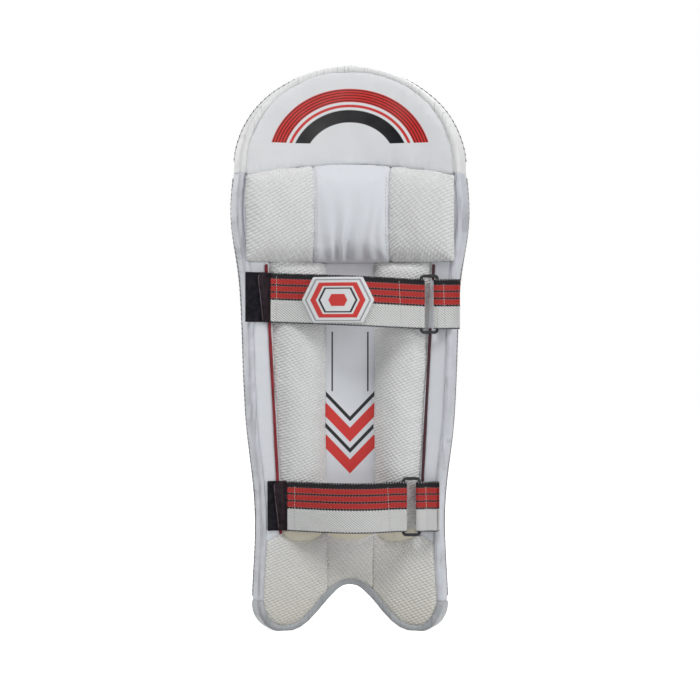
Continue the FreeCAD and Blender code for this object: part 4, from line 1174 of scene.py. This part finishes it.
def shield_inset(shader, across, rise, half_width, half_height):
    """0 at the middle and 1 on the outline of a shield that tapers downwards to a shallow arc."""
    wide = shader.over(shader.size(across), half_width)
    down = shader.over(shader.minus(half_height, rise), 2 * half_height)
    taper = shader.minus(1.0, shader.times(down, SHIELD_TAPER))
    flank = shader.over(wide, taper)
    arc = shader.minus(1.0, shader.times(shader.times(flank, flank), SHIELD_ARC))
    upper = shader.over(rise, half_height)
    foot = shader.over(shader.times(upper, -1.0), arc)
    return shader.math("MAXIMUM", flank, shader.math("MAXIMUM", upper, foot))


def badge_material(name, plate, bands, box, inset_of):
    """Moulded badge: bands that follow its outline, between two shares of the way out from its middle."""
    shader = Shader(name, 0.35, coat=0.2)
    middle = (box[0] + box[1]) / 2
    across = shader.minus(shader.x, middle.x)
    rise = shader.minus(shader.z, middle.z)
    inset = inset_of(shader, across, rise, (box[1].x - box[0].x) / 2, (box[1].z - box[0].z) / 2)
    colour = plate
    for low, high, ink in bands:
        band = shader.between(inset, low, high, 0.01)
        colour = shader.mix(band, colour, ink)
        shader.bump(band, 0.0004, 0.6)
    shader.bump(shader.noise(900.0, 3.0), 0.0001, 0.4)
    return shader.colour(colour)


def badges():
    plate = badge_material("hexagon_badge", WHITE, HEXAGON_RINGS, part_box("strap_badge"), hexagon_inset)
    banded("strap_badge", "upper_strap", plate, bevel=0.0012)
    shield = badge_material("shield_badge", DARK_RED, SHIELD_RINGS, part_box("instep_badge"), shield_inset)
    banded("instep_badge", "pad", shield, bevel=0.0005)


# ---- inside ----
def inside():
    for name in ("core_shin", "core_top_hat", "knee_cup"):
        cad(name).materials[0] = FOAM
    for name in ("shin_canes", "top_hat_canes"):
        cad(name).materials[0] = CANE


# ---- studio ----
def camera_rays(tree):
    """1 for rays from the camera, and for reflected and refracted rays."""
    path = tree.nodes.new("ShaderNodeLightPath")
    seen = path.outputs["Is Camera Ray"]
    for kind in ("Is Glossy Ray", "Is Transmission Ray"):
        either = tree.nodes.new("ShaderNodeMath")
        either.operation = "MAXIMUM"
        tree.links.new(seen, either.inputs[0])
        tree.links.new(path.outputs[kind], either.inputs[1])
        seen = either.outputs[0]
    return seen


def strength(tree, unseen, seen):
    """One strength for the light that falls on the pad, and another for what the camera sees."""
    level = tree.nodes.new("ShaderNodeMapRange")
    level.inputs["To Min"].default_value = unseen
    level.inputs["To Max"].default_value = seen
    tree.links.new(camera_rays(tree), level.inputs["Value"])
    return level.outputs[0]


def studio():
    """White room: an even glow, two softboxes for each face of the pad and a floor that keeps the shadow."""
    bpy.context.scene.view_settings.view_transform = "Standard"
    world = bpy.data.worlds.new("studio")
    bpy.context.scene.world = world
    world.use_nodes = True
    tree = world.node_tree
    background = tree.nodes["Background"]
    background.inputs["Color"].default_value = (1, 1, 1, 1)
    tree.links.new(strength(tree, WORLD_LIGHT, 1.0), background.inputs["Strength"])
    floor_mesh = bpy.data.meshes.new("floor")
    corners = [(x * FLOOR_REACH, y * FLOOR_REACH, cad_low.z) for x, y in ((-1, -1), (1, -1), (1, 1), (-1, 1))]
    floor_mesh.from_pydata(corners, [], [(0, 1, 2, 3)])
    floor_mesh.materials.append(floor_material())
    link("floor", floor_mesh)
    for side in (1, -1):
        softbox(KEY_PLACE, side, KEY_WATTS)
        softbox(FILL_PLACE, side, FILL_WATTS[side])


def floor_material():
    """Pale floor; what the camera sees of it is lifted to white, and the shadow stays."""
    pale = bpy.data.materials.new("floor")
    pale.use_nodes = True
    tree = pale.node_tree
    surface = tree.nodes["Principled BSDF"]
    surface.inputs["Base Color"].default_value = FLOOR_GREY
    surface.inputs["Roughness"].default_value = 0.9
    surface.inputs["Specular IOR Level"].default_value = 0.0
    surface.inputs["Emission Color"].default_value = (1, 1, 1, 1)
    tree.links.new(strength(tree, 0.0, FLOOR_LIFT), surface.inputs["Emission Strength"])
    return pale


def softbox(at, side, watts):
    """Square lamp aimed at the pad; side is 1 behind it and -1 in front of it."""
    lamp = bpy.data.lights.new("softbox", "AREA")
    lamp.energy = watts
    lamp.size = LAMP_SIZE
    box = link("softbox", lamp)
    box.location = (side * at[0], side * at[1], at[2])
    aim = Vector((0, 0, LAMP_AIM_Z)) - box.location
    box.rotation_euler = aim.to_track_quat("-Z", "Y").to_euler()


def camera():
    """Level view of the strapped side, framed as the whole pad with a little white round it."""
    lens = bpy.data.cameras.new("camera")
    lens.lens = LENS
    lens.sensor_width = SENSOR
    view = link("camera", lens)
    middle = (cad_low + cad_high) / 2
    view.location = (middle.x, middle.y + FIELD_WIDE * LENS / SENSOR, middle.z - CAMERA_DROP)
    view.rotation_euler = (math.radians(90), 0, math.radians(180))
    bpy.context.scene.camera = view


camera()
front()
inner_face()
bindings()
straps()
badges()
seam_stitching()
edge_cords()
inside()
studio()
